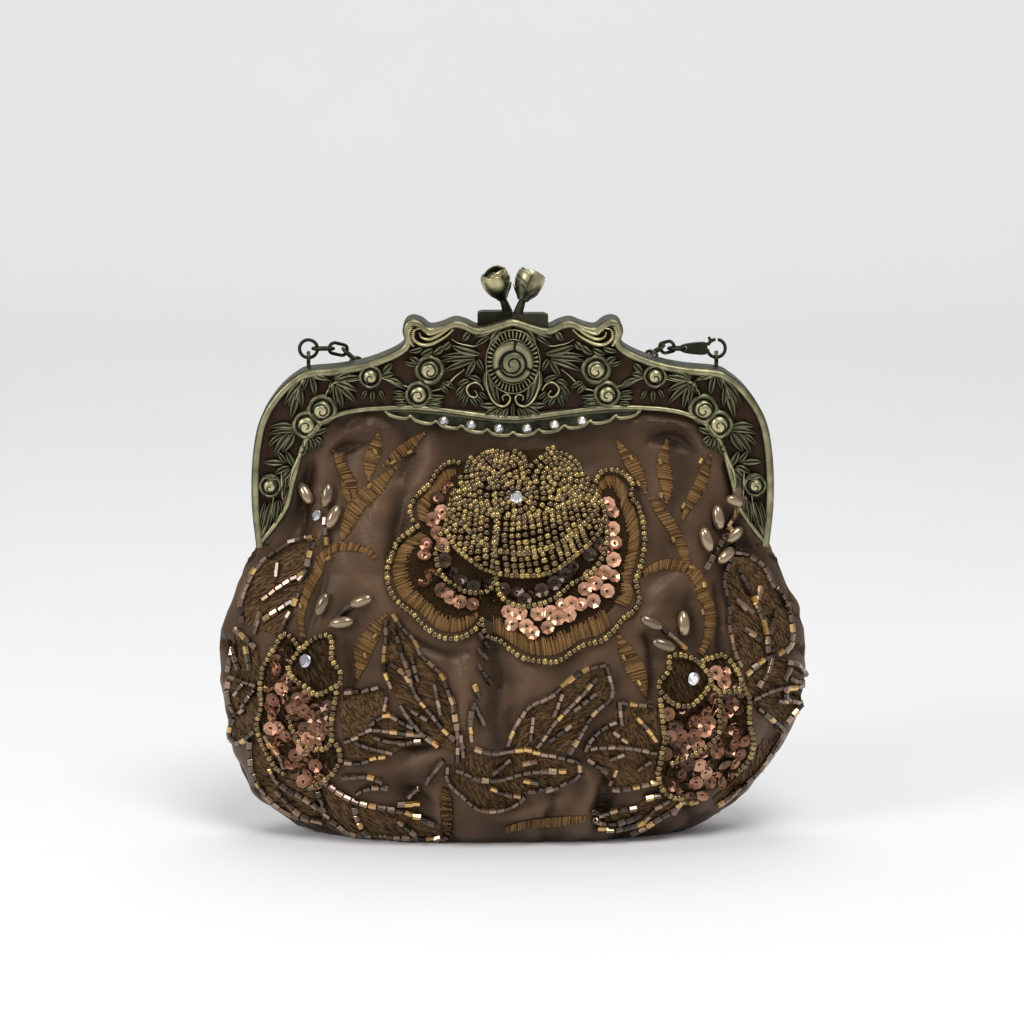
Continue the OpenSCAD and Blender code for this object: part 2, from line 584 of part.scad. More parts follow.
// Swivel clasp: a body with a hook that passes through the right eye, and a sprung gate.
module clasp_tail_ring() color(dark_brass) translate([tail_x, eye_y, ring_z]) wire_ring(tail_ring_r);
gate_pin_r = 0.4;
gate_boss_r = 0.85;
gate_pin_at = [-ring_r - gate_boss_r - wire_d / 3, gate_boss_r + seat_gap];
// Turns a shape drawn around the hook's middle to stand in the clasp's place.
module at_hook(y0) {
    translate([eye_x, eye_y - y0, ring_z]) rotate([90, 0, 0]) children();
}
module hook_arc(first, last) {
    rotate([0, 0, first]) rotate_extrude(angle = last - first) translate([ring_r, 0])
        circle(r = wire_r, $fn = 24);
}
// Half outline of the clasp's body from its tail to the hook, as shares of its length and thickness.
clasp_shares = [[0.01, 0.32], [0.15, 0.55], [0.4, 0.72], [0.7, 0.82], [0.9, 0.8], [1, 0.62]];
clasp_side = [for (p = clasp_shares) [p[0] * clasp_l, p[1] * clasp_t]];
module clasp_body() color(brass) difference() {
    union() {
        at_hook(0) hook_arc(-176, 81);
        at_hook(-clasp_t / 2) translate([-ring_r - clasp_l, 0]) linear_extrude(clasp_t)
            polygon(concat(curve(clasp_side, curve_steps),
                flip([for (p = curve(clasp_side, curve_steps)) [p[0], -p[1]]])));
    }
    at_hook(-wire_r - seat_gap * 2 / 3)
        translate([gate_pin_at[0] - gate_boss_r - seat_gap, seat_gap / 2])
            cube([gate_boss_r * 2 + wire_d + seat_gap, clasp_t, wire_d + seat_gap * 4 / 3]);
    at_hook(-clasp_t) translate(gate_pin_at) cylinder(r = gate_pin_r + turn_gap / 5, h = clasp_t * 2);
    at_hook(-clasp_t) translate([-ring_r - clasp_l + tail_eye_in, 0])
        cylinder(r = wire_r + seat_gap, h = clasp_t * 2);
}
module clasp_gate() color(brass) difference() {
    union() {
        at_hook(0) hook_arc(95, 158);
        at_hook(-wire_r) translate(gate_pin_at) cylinder(r = gate_boss_r, h = wire_d);
        at_hook(-wire_r) linear_extrude(wire_d) polygon([gate_pin_at + [0, -gate_boss_r * 0.4],
            ring_r * [cos(156), sin(156)] + [wire_r * 0.7, -wire_r * 0.3],
            ring_r * [cos(150), sin(150)] + [-wire_r * 0.4, wire_r * 0.9],
            gate_pin_at + [-gate_boss_r * 0.5, gate_boss_r * 0.8]]);
        at_hook(0) rotate([0, 0, 125]) translate([ring_r, 0, 0]) rotate([0, 90, 0])
            cylinder(r = wire_r * 0.9, h = wire_d * 1.4);
    }
    at_hook(-clasp_t) translate(gate_pin_at) cylinder(r = gate_pin_r + turn_gap, h = clasp_t * 2);
}
module clasp_pin() color(brass) at_hook(-clasp_t / 2) translate(gate_pin_at)
    cylinder(r = gate_pin_r, h = clasp_t);

back_frame();
front_frame();
back_openwork();
front_openwork();
back_stones();
front_stones();
back_knob_arm();
front_knob_arm();
back_rosebud_knob();
front_rosebud_knob();
left_hinge_rivet();
right_hinge_rivet();
pouch_body();
front_panel();
back_panel();
pouch_lining();
lining_pocket();
left_jump_ring();
clasp_tail_ring();
strap_chain();
clasp_body();
clasp_gate();
clasp_pin();
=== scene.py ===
"""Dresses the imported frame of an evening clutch: castings, satin pouch, beadwork and stage."""

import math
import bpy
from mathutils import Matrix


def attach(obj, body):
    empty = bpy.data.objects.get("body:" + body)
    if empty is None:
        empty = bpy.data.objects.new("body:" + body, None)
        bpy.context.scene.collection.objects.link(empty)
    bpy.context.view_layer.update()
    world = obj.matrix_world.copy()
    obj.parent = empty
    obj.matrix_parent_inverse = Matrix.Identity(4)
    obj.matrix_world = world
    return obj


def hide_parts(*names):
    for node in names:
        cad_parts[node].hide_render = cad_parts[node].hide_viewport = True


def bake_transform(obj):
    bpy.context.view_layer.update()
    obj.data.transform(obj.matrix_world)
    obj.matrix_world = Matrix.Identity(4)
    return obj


bl_info = {
    "name": "Evening Clutch",
    "version": (1, 0, 0),
    "blender": (4, 5, 0),
    "location": "3D View > Sidebar > Clutch",
    "description": "Builds a beaded satin evening clutch with a cast openwork frame",
    "category": "Add Mesh",
}

import bpy
import numpy as np
from mathutils import Vector
from mathutils.bvhtree import BVHTree

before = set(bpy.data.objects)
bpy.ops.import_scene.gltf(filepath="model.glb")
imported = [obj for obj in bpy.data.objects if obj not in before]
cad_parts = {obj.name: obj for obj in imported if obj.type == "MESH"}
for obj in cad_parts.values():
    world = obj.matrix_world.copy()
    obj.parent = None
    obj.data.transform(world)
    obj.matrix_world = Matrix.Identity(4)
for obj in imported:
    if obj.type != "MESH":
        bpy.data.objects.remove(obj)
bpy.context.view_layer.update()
MM = 0.001


def drawings(text):
    """Reads drawn lines from a text, with a ; between two lines. Each is its plain numbers, if it has
    any, and its points with commas between the coordinates. A line without numbers comes back as
    its points, and one with numbers as (*numbers, points)."""
    found = []
    for words in (part.split() for part in text.split(";")):
        numbers = [float(word) for word in words if "," not in word]
        points = np.array([word.split(",") for word in words if "," in word], float)
        found.append((*numbers, points) if numbers else points)
    return found


def pairs(text):
    """Reads drawn lines that belong together two by two."""
    found = drawings(text)
    return list(zip(found[::2], found[1::2]))


# The frame's sizes, in mm. ROSE_Z_SHARE and APRON_RISE are shares of the crest and the apron.
HINGE_Z = 99.0
HALF_W = 90.0
CREST = 82.3
FACE_Y = 7.5
FACE_WALL = 1.2
RIM_BAND = 2.8
RAIL_BAND = 2.0
APRON_W = 88.0
APRON_X = np.linspace(-APRON_W / 2, APRON_W / 2, 241)
APRON_DROP = 4.1
APRON_RISE = 0.17
SCALLOPS = 10
SCALLOP_DROP = 1.6
ROSE_R = 6.9
ROSE_RISE = 2.4
MIDDLE_ROSE_RISE = 3.4
ROSE_Z_SHARE = 0.821
RING_WIDTH = 2.9
RING_RISE = 1.5
RING_OVAL = (0.93, 1.1)
# The pouch's sizes, in mm, with the two powers of its cross-section, the strength of the drawn
# folds, and the rows of its grid on the base, up to the hinge and above it.
POUCH_W = 204.6
POUCH_D = 63.0
POUCH_H = 94.5
FLOOR_Z = 0.25
SEAM_IN = 3.1
HANG = 4.6
HANG_TOP = 44.0
HANG_LOW = 10.0
LENS_BEND = 2.4
LENS_ROUND = 0.7
FOLD_STRENGTH = 1.45
POUCH_ROWS = (14, 170, 90)
LINING_IN = 1.1
POCKET_HALF_W = 35.0
POCKET_H = 32.0
# The picture: its side in pixels, and its scale at the front of the bag.
PIXELS = 1024
PX_PER_MM = 2.9

# Outlines of the frame's right half, as shares of half the width and of the crest's rise, and
# its roses with their size as a share of the middle one's.
OUTER, WINDOW = drawings("""
    0,1 0.067,0.979 0.131,0.962 0.178,0.984 0.222,0.993 0.267,0.974 0.314,0.964 0.344,0.988 0.378,1
    0.407,0.987 0.42,0.948 0.412,0.903 0.45,0.866 0.556,0.82 0.667,0.796 0.783,0.784 0.829,0.761
    0.883,0.713 0.933,0.644 0.967,0.571 0.986,0.486 0.998,0.365 0.999,0.207 0.984,0.038; 0,0.57 0.26,0.604
    0.4,0.616 0.533,0.611 0.593,0.604 0.65,0.591 0.704,0.566 0.75,0.529 0.794,0.456 0.817,0.365
    0.833,0.304 0.856,0.207 0.906,0.122 0.96,0.049""")
ROSES, = drawings("""
    0.317,0.787,0.667 0.36,0.683,0.61 0.542,0.758,0.536 0.728,0.62,0.68 0.788,0.555,0.64 0.928,0.298,0.52""")
# Cast leaves of the right half in pixels: width, how far the middle bows out, foot and tip.
CAST_LEAVES = drawings("""
    7 -1 521,327 530,345; 6 -1 528,328 546,334; 5 0 531,333 545,342; 6 0 551,329 558,338; 7 2 541,351
    569,342; 5 -1 545,352 579,353; 5 -1 546,355 580,358; 6 -1 547,357 577,368; 6 0 545,357 555,374; 5 0
    543,356 537,367; 6 1 570,339 579,346; 6 1 577,343 588,351; 6 1 588,346 600,351; 5 1 598,345 612,348; 6
    -1 601,361 611,354; 4 1 603,362 617,358; 6 0 637,369 628,360; 6 1 638,373 626,371; 6 1 634,376
    616,383; 4 1 630,379 614,386; 4 0 616,390 628,388; 5 0 615,395 629,394; 4 0 614,400 626,400; 5 -1
    592,393 575,393; 4 0 593,398 577,399; 4 0 594,402 578,403; 5 1 578,379 566,385; 5 0 580,382 572,390; 5
    -1 539,378 553,373; 5 -1 551,377 563,382; 5 -1 555,382 565,393; 4 0 556,388 563,398; 5 0 553,391
    558,403; 5 0 550,394 543,403; 4 0 544,393 537,401; 4 0 541,389 533,396; 6 -2 525,380 521,400; 8 -2
    534,367 526,396; 6 1 526,402 541,401; 6 0 522,404 535,411; 5 0 518,405 526,415; 5 0 513,405 518,416; 6
    0 686,377 661,373; 5 0 687,376 669,369; 4 0 687,375 675,366; 6 1 686,379 663,388; 6 1 685,381 664,400;
    6 1 686,383 679,405; 5 0 687,382 685,402; 5 0 689,378 692,390; 5 1 711,373 692,377; 6 1 711,373
    707,392; 4 0 714,373 720,387; 6 -2 717,375 743,402; 5 0 723,384 721,404; 7 0 726,388 735,415; 4 0
    730,390 738,404; 6 -2 731,424 760,424; 5 -2 731,428 762,431; 7 1 731,430 746,449; 7 -1 737,430
    755,451; 5 -1 746,431 762,443; 5 0 708,431 694,425; 5 0 707,434 698,440; 4 0 708,436 701,445; 5 0
    711,435 707,447; 5 0 714,436 713,448; 6 0 718,436 718,449; 6 0 732,463 741,448; 5 0 741,460 752,448; 6
    0 745,460 766,459; 6 -1 737,464 755,471; 6 0 735,467 746,477; 5 0 739,474 741,485; 6 -1 750,476
    767,474; 4 0 750,497 748,510; 5 0 753,498 756,521; 5 0 757,499 763,525; 6 0 761,500 768,536; 4 0
    765,499 770,526; 5 0 724,452 716,446; 4 0 641,387 636,396; 5 0 648,388 648,399; 4 0 654,387 659,395; 4
    0 743,476 747,495""")
# Cast scrolls and ribs: thickness in pixels, rise in mm and points in pixels.
CAST_SCROLLS = drawings("""
    3.2 1.6 537,387 540,382 545,379 551,381 554,386 551,392 546,394 543,391 546,387; 3.4 1.7 534,368
    534,380 531,391 526,399 519,403 513,401 510,395 513,391 518,393 517,397; 2.2 0.8 538,340 546,343
    554,342 562,340 569,336; 4.6 1.6 567,326 576,334 590,341 600,341 607,335 606,327 600,325; 4.2 1.5
    570,324 580,331 591,336 599,334 601,329; 4.0 1.4 574,324 584,329 592,331 596,327; 4.5 1.3 609,324
    612,330 611,337 607,343; 4.0 1.2 716,436 722,447 727,456 731,463 735,471 737,484; 3.4 1.2 747,470
    747,482 746,496; 3.0 1.0 757,494 761,512 767,530 771,546; 3.0 1.0 611,384 620,381 632,377 640,374; 3.0
    1.0 660,376 672,378 686,379 693,386 697,394; 3.0 1.0 715,370 705,374 692,377; 3.0 1.0 716,371 724,384
    729,396; 2.6 0.8 556,366 566,374 576,384 590,388""")
# Cast leaves and scrolls look fuller than they are drawn.
LEAF_FULL = 1.5
SCROLL_FULL = 1.35
# Where places across the picture lie on the right half, in pixels and in mm from the middle, and
# which height over the hinge one of its rows shows.
CAST_ROW = (367, 64.6)
CAST_ACROSS = ([507.5, 591, 650, 700, 716, 761, 775], [0, 28.5, 48.8, 65.5, 70.9, 83.5, 89.9])
# Half width and half depth of the pouch at shares of its height.
SIDES, DEPTHS = drawings("""
    0,0.645 0.036,0.715 0.075,0.767 0.113,0.812 0.151,0.848 0.227,0.895 0.303,0.932 0.38,0.961 0.455,0.982
    0.6,0.995 0.69,1 0.76,0.994 0.83,0.971 0.9,0.941 1,0.905; 0,0.6 0.036,0.73 0.075,0.82 0.113,0.87
    0.19,0.93 0.28,0.975 0.42,1 0.54,1 0.66,0.97 0.8,0.89 0.88,0.83 0.97,0.76 1,0.73""")


# Lines and grids.
def coords(*parts):
    """Points from their coordinates, which may be numbers, rows or columns."""
    return np.stack(np.broadcast_arrays(*parts), -1)


def polar(centre, radius, angle):
    """Flat places at a distance and an angle round a middle."""
    return coords(centre[0] + radius * np.cos(angle), centre[1] + radius * np.sin(angle))


def round_axis(radius, angle, height):
    """Points round the z axis from their distance, angle and height."""
    return coords(radius * np.cos(angle), radius * np.sin(angle), height)


def curve(points, steps):
    """Smooth line through points: each span is the cubic whose ends lean on the neighbours."""
    p = np.asarray(points, float)
    q = np.concatenate([[2 * p[0] - p[1]], p, [2 * p[-1] - p[-2]]])
    t = np.arange(steps)[None, :, None] / steps
    a, b, c, d = (q[i:len(q) - 3 + i, None] for i in range(4))
    spans = (2 * b + (c - a) * t + (2 * a - 5 * b + 4 * c - d) * t ** 2
             + (3 * b - a - 3 * c + d) * t ** 3) / 2
    return np.concatenate([spans.reshape(-1, p.shape[1]), p[-1:]])


def closed_curve(points, steps):
    """The same curve through a ring of points, its end meeting its start."""
    ring = [points[-1], *points, points[0], points[1]]
    return curve(ring, steps)[steps:-steps]


def spaced(line, pitch):
    """Points at an even pitch along a line, by its summed length."""
    steps = np.linalg.norm(np.diff(line, axis=0), axis=1)
    along = np.concatenate([[0], np.cumsum(steps)])
    count = max(int(round(along[-1] / pitch)), 1)
    at = np.linspace(0, along[-1], count + 1)
    return np.stack([np.interp(at, along, line[:, k]) for k in range(line.shape[1])], 1)


def directions(line):
    """Unit direction of a line at each of its points."""
    d = np.gradient(line, axis=0)
    return d / np.maximum(np.linalg.norm(d, axis=1, keepdims=True), 1e-9)


def rightwards(line):
    """Unit way to the right of a flat line at each of its points."""
    d = directions(line)
    return coords(d[:, 1], -d[:, 0])


def along_line(line, share):
    """Places at shares of a line of even points."""
    at = np.linspace(0, 1, len(line))
    return coords(*(np.interp(share, at, line[:, k]) for k in (0, 1)))


def both_sides(shares):
    """Mirrors a right half given as shares, and returns the whole line in mm, left to right."""
    half = shares * (HALF_W, CREST)
    return np.concatenate([half[:0:-1] * (-1, 1), half])


def ease(t):
    """Zero below 0, one above 1 and a smooth step between."""
    t = np.clip(t, 0, 1)
    return t * t * (3 - 2 * t)


def quads(rows, cols, wrap=False):
    """Faces of a grid of points, row after row, joined round the columns where wrap is set."""
    r = np.arange(rows - 1)[:, None]
    c = np.arange(cols if wrap else cols - 1)[None, :]
    a, b = r * cols + c, r * cols + (c + 1) % cols
    return np.stack([a, b, b + cols, a + cols], -1).reshape(-1, 4)


class Work:
    """Points in mm, faces and marks of many surfaces, gathered until they become one mesh."""

    def __init__(self):
        self.points, self.faces, self.tones, self.spots = [], [], [], []
        self.count = 0

    def add(self, points, faces, tone=0.5, spot=None):
        """Adds one surface: tone is its bright or dark mark, spot its place on the cloth."""
        tone = np.broadcast_to(tone, points.shape[:-1])
        spot = np.zeros((tone.size, 2)) if spot is None else spot * MM
        self.points.append(points.reshape(-1, 3))
        self.faces.append(faces + self.count)
        self.tones.append(tone.ravel())
        self.spots.append(spot.reshape(-1, 2))
        self.count += tone.size

    def sheet(self, grid, tone=0.5, spot=None, wrap=False, turn=False):
        """Adds a grid of points: wrap joins it round its columns, turn faces it the other way."""
        faces = quads(*grid.shape[:2], wrap)
        self.add(grid, faces[:, ::-1] if turn else faces, tone, spot)

    def mirrored(self, axis):
        """The same work on the other side of the middle, its faces turned to point outwards."""
        other = Work()
        sign = np.where(np.arange(3) == axis, -1, 1)
        other.points = [points * sign for points in self.points]
        other.faces = [faces[:, ::-1] for faces in self.faces]
        other.tones, other.spots = list(self.tones), list(self.spots)
        other.count = self.count
        return other

    def take(self, other):
        """Adds all of another work to this one."""
        self.points += other.points
        self.faces += [faces + self.count for faces in other.faces]
        self.tones += other.tones
        self.spots += other.spots
        self.count += other.count

    def mesh(self, name, material, smooth=True):
        """Makes the object, with its marks as the attribute tone and the map cloth."""
        points = np.concatenate(self.points) * MM
        faces = [face for group in self.faces for face in group.tolist()]
        data = bpy.data.meshes.new(name)
        data.from_pydata(points.tolist(), [], faces)
        data.attributes.new("tone", "FLOAT", "POINT").data.foreach_set(
            "value", np.concatenate(self.tones).astype(np.float32))
        corner = np.zeros(len(data.loops), np.int32)
        data.loops.foreach_get("vertex_index", corner)
        spots = np.concatenate(self.spots)[corner].astype(np.float32)
        data.uv_layers.new(name="cloth").data.foreach_set("uv", spots.ravel())
        data.polygons.foreach_set("use_smooth", np.full(len(data.polygons), smooth))
        data.materials.append(material)
        obj = bpy.data.objects.new(name, data)
        bpy.context.scene.collection.objects.link(obj)
        return obj


# Materials.
class Field:
    """One output socket of a node: sums on it add Math nodes."""

    def __init__(self, nodes, socket):
        self.nodes, self.socket = nodes, socket

    def _math(self, operation, a, b=0.0, clamp=False):
        return self.nodes.node("Math", {"operation": operation, "use_clamp": clamp}, {0: a, 1: b})

    def __add__(self, other):
        return self._math("ADD", self, other)

    def __radd__(self, other):
        return self._math("ADD", other, self)

    def __sub__(self, other):
        return self._math("SUBTRACT", self, other)

    def __rsub__(self, other):
        return self._math("SUBTRACT", other, self)

    def __mul__(self, other):
        return self._math("MULTIPLY", self, other)

    def __rmul__(self, other):
        return self._math("MULTIPLY", other, self)

    def size(self):
        return self._math("ABSOLUTE", self)

    def held(self):
        """The same value kept between 0 and 1."""
        return self._math("ADD", self, 0.0, clamp=True)

    def between(self, low, high):
        """0 at low, 1 at high and a smooth step between."""
        return self.nodes.node("MapRange", {"interpolation_type": "SMOOTHSTEP"},
                               {"Value": self, "From Min": low, "From Max": high})


class Nodes:
    """The nodes of a material or of the world while they are put together."""

    def __init__(self, tree):
        self.tree = tree

    def node(self, kind, settings=None, inputs=None, output=0):
        """Adds any node: settings come first, then the values or links of its sockets."""
        made = self.tree.nodes.new("ShaderNode" + kind)
        for key, value in (settings or {}).items():
            setattr(made, key, value)
        for key, value in (inputs or {}).items():
            self.feed(made.inputs[key], value)
        return Field(self, made.outputs[output])

    def feed(self, socket, value):
        if isinstance(value, Field):
            self.tree.links.new(value.socket, socket)
        else:
            socket.default_value = value

    def blend(self, factor, first, second):
        """Colour between two colours."""
        return self.node("Mix", {"data_type": "RGBA"}, {0: factor, 6: first, 7: second}, 2)


class Finish(Nodes):
    """A material with one shader."""

    def __init__(self, name, **fixed):
        self.material = bpy.data.materials.new(name)
        self.material.use_nodes = True
        super().__init__(self.material.node_tree)
        self.tree.nodes.clear()
        self.shader = self.tree.nodes.new("ShaderNodeBsdfPrincipled")
        end = self.tree.nodes.new("ShaderNodeOutputMaterial")
        self.tree.links.new(self.shader.outputs[0], end.inputs["Surface"])
        self.set(**fixed)

    def place(self):
        return self.node("TexCoord", output="Object")

    def mark(self):
        """The bright or dark mark of the points."""
        return self.node("Attribute", {"attribute_name": "tone"}, output="Fac")

    def grain(self, scale, detail=3.0, where=None):
        """Noise of so many lumps a metre."""
        return self.node("TexNoise", None, {"Vector": where or self.place(), "Scale": scale,
                                            "Detail": detail})

    def bump(self, height, distance, strength):
        return self.node("Bump", None, {"Height": height, "Distance": distance,
                                        "Strength": strength})

    def set(self, **fed):
        """Feeds the shader's sockets and returns the material."""
        for socket, value in fed.items():
            self.feed(self.shader.inputs[socket.replace("_", " ")], value)
        return self.material


def rgb(colour):
    return (*colour, 1.0)


def brass_finish(name, high, mid, low, marked):
    """Antique brass: dark in the hollows, rubbed bright on the high parts.
    The height comes from the mark of a new piece, or from the distance out of the face."""
    f = Finish(name, Metallic=1.0)
    cloud = f.grain(260.0)
    fine = f.grain(2600.0, 2.0)
    if marked:
        height = f.mark()
    else:
        apart = f.node("SeparateXYZ", None, {0: f.place()}, 1).size()
        height = apart.between((FACE_Y - 0.6) * MM, (FACE_Y + 0.9) * MM) * 0.5 + 0.26
    worn = (height + (cloud - 0.5) * (0.5 if marked else 0.25)).held()
    colour = f.blend(worn.between(0.0, 0.5), rgb(low), rgb(mid))
    colour = f.blend(worn.between(0.5, 1.0), colour, rgb(high))
    rough = 0.52 - worn * 0.2 + (fine - 0.5) * 0.16
    return f.set(Base_Color=colour, Roughness=rough, Normal=f.bump(fine, 0.00006, 0.5))


def cloth_finish(name, colour, light, rough, gloss):
    """Satin: a fine weave with a soft wide gloss in its own colour, with painted shade in its hollows and
    painted light on its ridges, both from its mark.
    """
    f = Finish(name, Specular_IOR_Level=gloss, Specular_Tint=rgb(light), Sheen_Weight=0.06,
               Sheen_Roughness=0.4, Sheen_Tint=rgb(light))
    cloud = f.grain(45.0)
    uv = f.node("UVMap", {"uv_map": "cloth"})
    ribs = f.node("TexWave", {"bands_direction": "Y"}, {"Vector": uv, "Scale": 620.0,
                                                        "Distortion": 3.0, "Detail": 2.0})
    slub = f.grain(1400.0, 2.0, uv)
    # The mark is painted shade and light of the creases; the two noises add random tone.
    depth = (f.mark() + (cloud - 0.5) * 0.25 + (slub - 0.5) * 0.25).held()
    tint = f.blend(depth, rgb([0.22 * c for c in colour]), rgb([1.7 * c for c in colour]))
    return f.set(Base_Color=tint, Roughness=rough + (cloud - 0.5) * 0.12,
                 Normal=f.bump(ribs * 0.5 + slub, 0.00005, 0.4))


def thread_finish(name, dark, light):
    """Embroidery floss: silky strands, each a little lighter or darker by its mark."""
    f = Finish(name, Specular_IOR_Level=0.3, Specular_Tint=rgb(light), Sheen_Weight=0.12,
               Sheen_Roughness=0.4, Sheen_Tint=rgb(light))
    strand = f.mark()
    nap = f.grain(2600.0, 2.0)
    colour = f.blend((strand + (nap - 0.5) * 0.7).held(), rgb(dark), rgb(light))
    return f.set(Base_Color=colour, Roughness=0.4 + nap * 0.15, Normal=f.bump(nap, 0.00008, 0.6))


def glass_bead_finish(name, colours, metal, rough, coat=0.8):
    """Metal-lined glass: each bead takes its colour from its mark."""
    f = Finish(name, Metallic=metal, Coat_Weight=coat, Coat_Roughness=0.04)
    mark = f.mark()
    colour = rgb(colours[0])
    for i, shade in enumerate(colours[1:]):
        step = i / (len(colours) - 1)
        colour = f.blend(mark.between(step, step + 0.9 / (len(colours) - 1)), colour, rgb(shade))
    pits = f.grain(1800.0, 1.0)
    return f.set(Base_Color=colour, Roughness=rough + pits * 0.08,
                 Normal=f.bump(pits, 0.00003, 0.15))


# The camera and its rays.
class Camera:
    """The photograph's camera: a long lens that looks a little down on the front, from a distance
    and at an aim in mm."""

    tilt = math.radians(9.0)
    turn = math.radians(0.6)
    away = 1250.0
    aim = np.array([-0.3, -8.0, 114.4])
    sensor = 36.0

    @classmethod
    def axes(cls):
        """Unit vectors to the right, up and forwards, in the frame of the object."""
        forward = np.array([math.sin(cls.turn) * math.cos(cls.tilt),
                            math.cos(cls.turn) * math.cos(cls.tilt), -math.sin(cls.tilt)])
        right = np.array([math.cos(cls.turn), -math.sin(cls.turn), 0.0])
        return right, np.cross(right, forward), forward

    @classmethod
    def eye(cls):
        return cls.aim - cls.away * cls.axes()[2]

    @classmethod
    def rays(cls, pixels):
        """Unit directions through places in the picture, given in its pixels."""
        right, up, forward = cls.axes()
        off = (np.asarray(pixels, float) - PIXELS / 2) / (cls.away * PX_PER_MM)
        ray = forward + off[:, :1] * right - off[:, 1:] * up
        return ray / np.linalg.norm(ray, axis=1, keepdims=True)


# Cast ornament.
CAST_RISE = 1.6
BAND_TONES = (0.14, 0.74)
LEAF_BRIGHT = 0.62


def on_face(flat, height):
    """Turns places on the face (x, height over the hinge) and a rise out of it into 3-D."""
    return coords(flat[..., 0], -(FACE_Y + height), HINGE_Z + flat[..., 1])


def moved_in(line, distance):
    """A flat line moved to the right of its direction, which is inwards on the frame."""
    return line + distance * rightwards(line)


def banded(work, line, start, width, rise, steps=9):
    """Half-round band beside a line: rise times the root of 1 - s squared, s from -1 to 1."""
    s = np.linspace(-1, 1, steps)
    round_ = np.sqrt(1 - s ** 2)
    line = spaced(line, 0.5)
    rows = np.stack([on_face(moved_in(line, start + width * (1 - t) / 2), rise * h)
                     for t, h in zip(s, round_)])
    low, high = BAND_TONES
    work.sheet(rows, (low + (high - low) * round_ ** 0.7)[:, None])


def cast_spot(pixels):
    """Places on the right half of the face, in mm, from places drawn in the picture."""
    row, height = CAST_ROW
    return coords(np.interp(pixels[..., 0], *CAST_ACROSS), height - (pixels[..., 1] - row) / PX_PER_MM)


def leaf_relief(work, foot, tip, width, rise, bow=0.0):
    """One cast leaf, blunt and finger-like: width times sin(180 t^0.8)^0.6 wide, with a raised
    ridge along each edge, a groove at its midrib, and sides that drop into the face."""
    t = np.linspace(0, 1, 14)[None, :]
    s = np.linspace(-1.22, 1.22, 15)[:, None]
    inside = np.clip(s, -1, 1)
    way = (tip - foot) / np.linalg.norm(tip - foot)
    half = width / 2 * np.sin(math.pi * np.clip(t, 0.03, 1) ** 0.8) ** 0.6
    crown = np.maximum(1 - np.abs(inside) ** 3, 0) ** 0.5
    ridges = (0.6 + 0.4 * np.exp(-((np.abs(inside) - 0.5) / 0.3) ** 2)
              - 0.36 * np.exp(-(inside / 0.15) ** 2))
    height = rise * crown * ridges * (0.6 + 0.4 * np.sin(math.pi * np.clip(t, 0.1, 0.8)))
    height = np.where(np.abs(s) > 1.05, -FACE_WALL, height)
    place = foot + t[..., None] * (tip - foot)
    side = (inside * half + 4 * bow * t * (1 - t))[..., None]
    flat = place + side * np.array([-way[1], way[0]])
    work.sheet(on_face(flat, height), np.clip(LEAF_BRIGHT * height / rise, 0.05, 1))


def rose_relief(work, centre, radius, rise, turn, core=0.54, turns=1.35, split=()):
    """One cast rose: a bright dome cut by a spiral, and round it four petals that overlap, each
    rising from a dark hollow to a lip. The dome takes the core's share of the radius, and turn is
    where its spiral starts. Where it has splits, smooth outer petals part at these angles round
    the spiral."""
    r = np.linspace(1, 0, 44)[:, None]
    a = np.linspace(0, 2 * math.pi, 64 if core < 0.9 else 160, endpoint=False)[None, :]
    q = r / core
    x, y = q * np.cos(a), q * np.sin(a) + (0.1 if split else 0.22)
    low, round_ = np.hypot(x, y), np.arctan2(y, x) / (2 * math.pi)
    inner = 0.62 if split else 1.0
    spiral = (turns * (low / inner) ** 0.8 + round_ + turn) % 1
    groove = np.exp(-((spiral - 0.5) / 0.11) ** 2) * ease((low - 0.08) / 0.12) * (low < inner)
    if split:
        groove = groove + np.exp(-((low - inner) / 0.05) ** 2)
        for angle in split:
            apart = np.abs((a - math.radians(angle) + math.pi) % (2 * math.pi) - math.pi) * q
            groove = groove + np.exp(-(apart / 0.06) ** 2) * (low > inner)
        groove = np.minimum(groove, 1)
    dome = rise * (0.42 + 0.58 * np.sqrt(np.maximum(1 - (q / 1.04) ** 2, 0)) - 0.16 * groove)
    petal = (4 * a / (2 * math.pi) + 2.7 * turn + 0.9 * r) % 1
    lip = np.exp(-((r - 0.8) / 0.17) ** 2) * (0.5 + 0.5 * petal)
    height = np.where(r < core, dome, rise * (0.16 + 0.46 * lip)) * (r < 0.99) - FACE_WALL * (r > 0.99)
    scallop = 1 - 0.1 * (1 - petal) * ease((r - core) / 0.3) * (core < 0.9)
    flat = polar(centre, radius * 1.2 * np.clip(r, 0, 0.985) * scallop, a)
    plain = 0.68 + 0.3 * np.exp(-((low - 0.84) / 0.12) ** 2) if split else 0.95
    tone = np.where(r < core, plain - 0.85 * groove - 0.5 * q ** 5, 0.08 + 0.66 * lip)
    work.sheet(on_face(flat, height), np.clip(tone, 0, 1), wrap=True)


def tapered_scroll(work, line, thick, rise):
    """A rounded stem along a line, its width a half at the ends and full in the middle."""
    line = spaced(line, 0.45)
    t = np.linspace(0, 1, len(line))
    wide = thick * (0.35 + 0.65 * np.sin(math.pi * np.clip(t, 0.08, 0.92)))
    s = np.linspace(1, -1, 7)
    right = rightwards(line)
    rows = [on_face(line + right * (wide * k / 2)[:, None],
                    rise * np.sqrt(1 - k * k) - (1 - np.sqrt(1 - k * k)) * FACE_WALL) for k in s]
    work.sheet(np.stack(rows), (0.2 + 0.8 * np.sqrt(1 - s ** 2))[:, None])


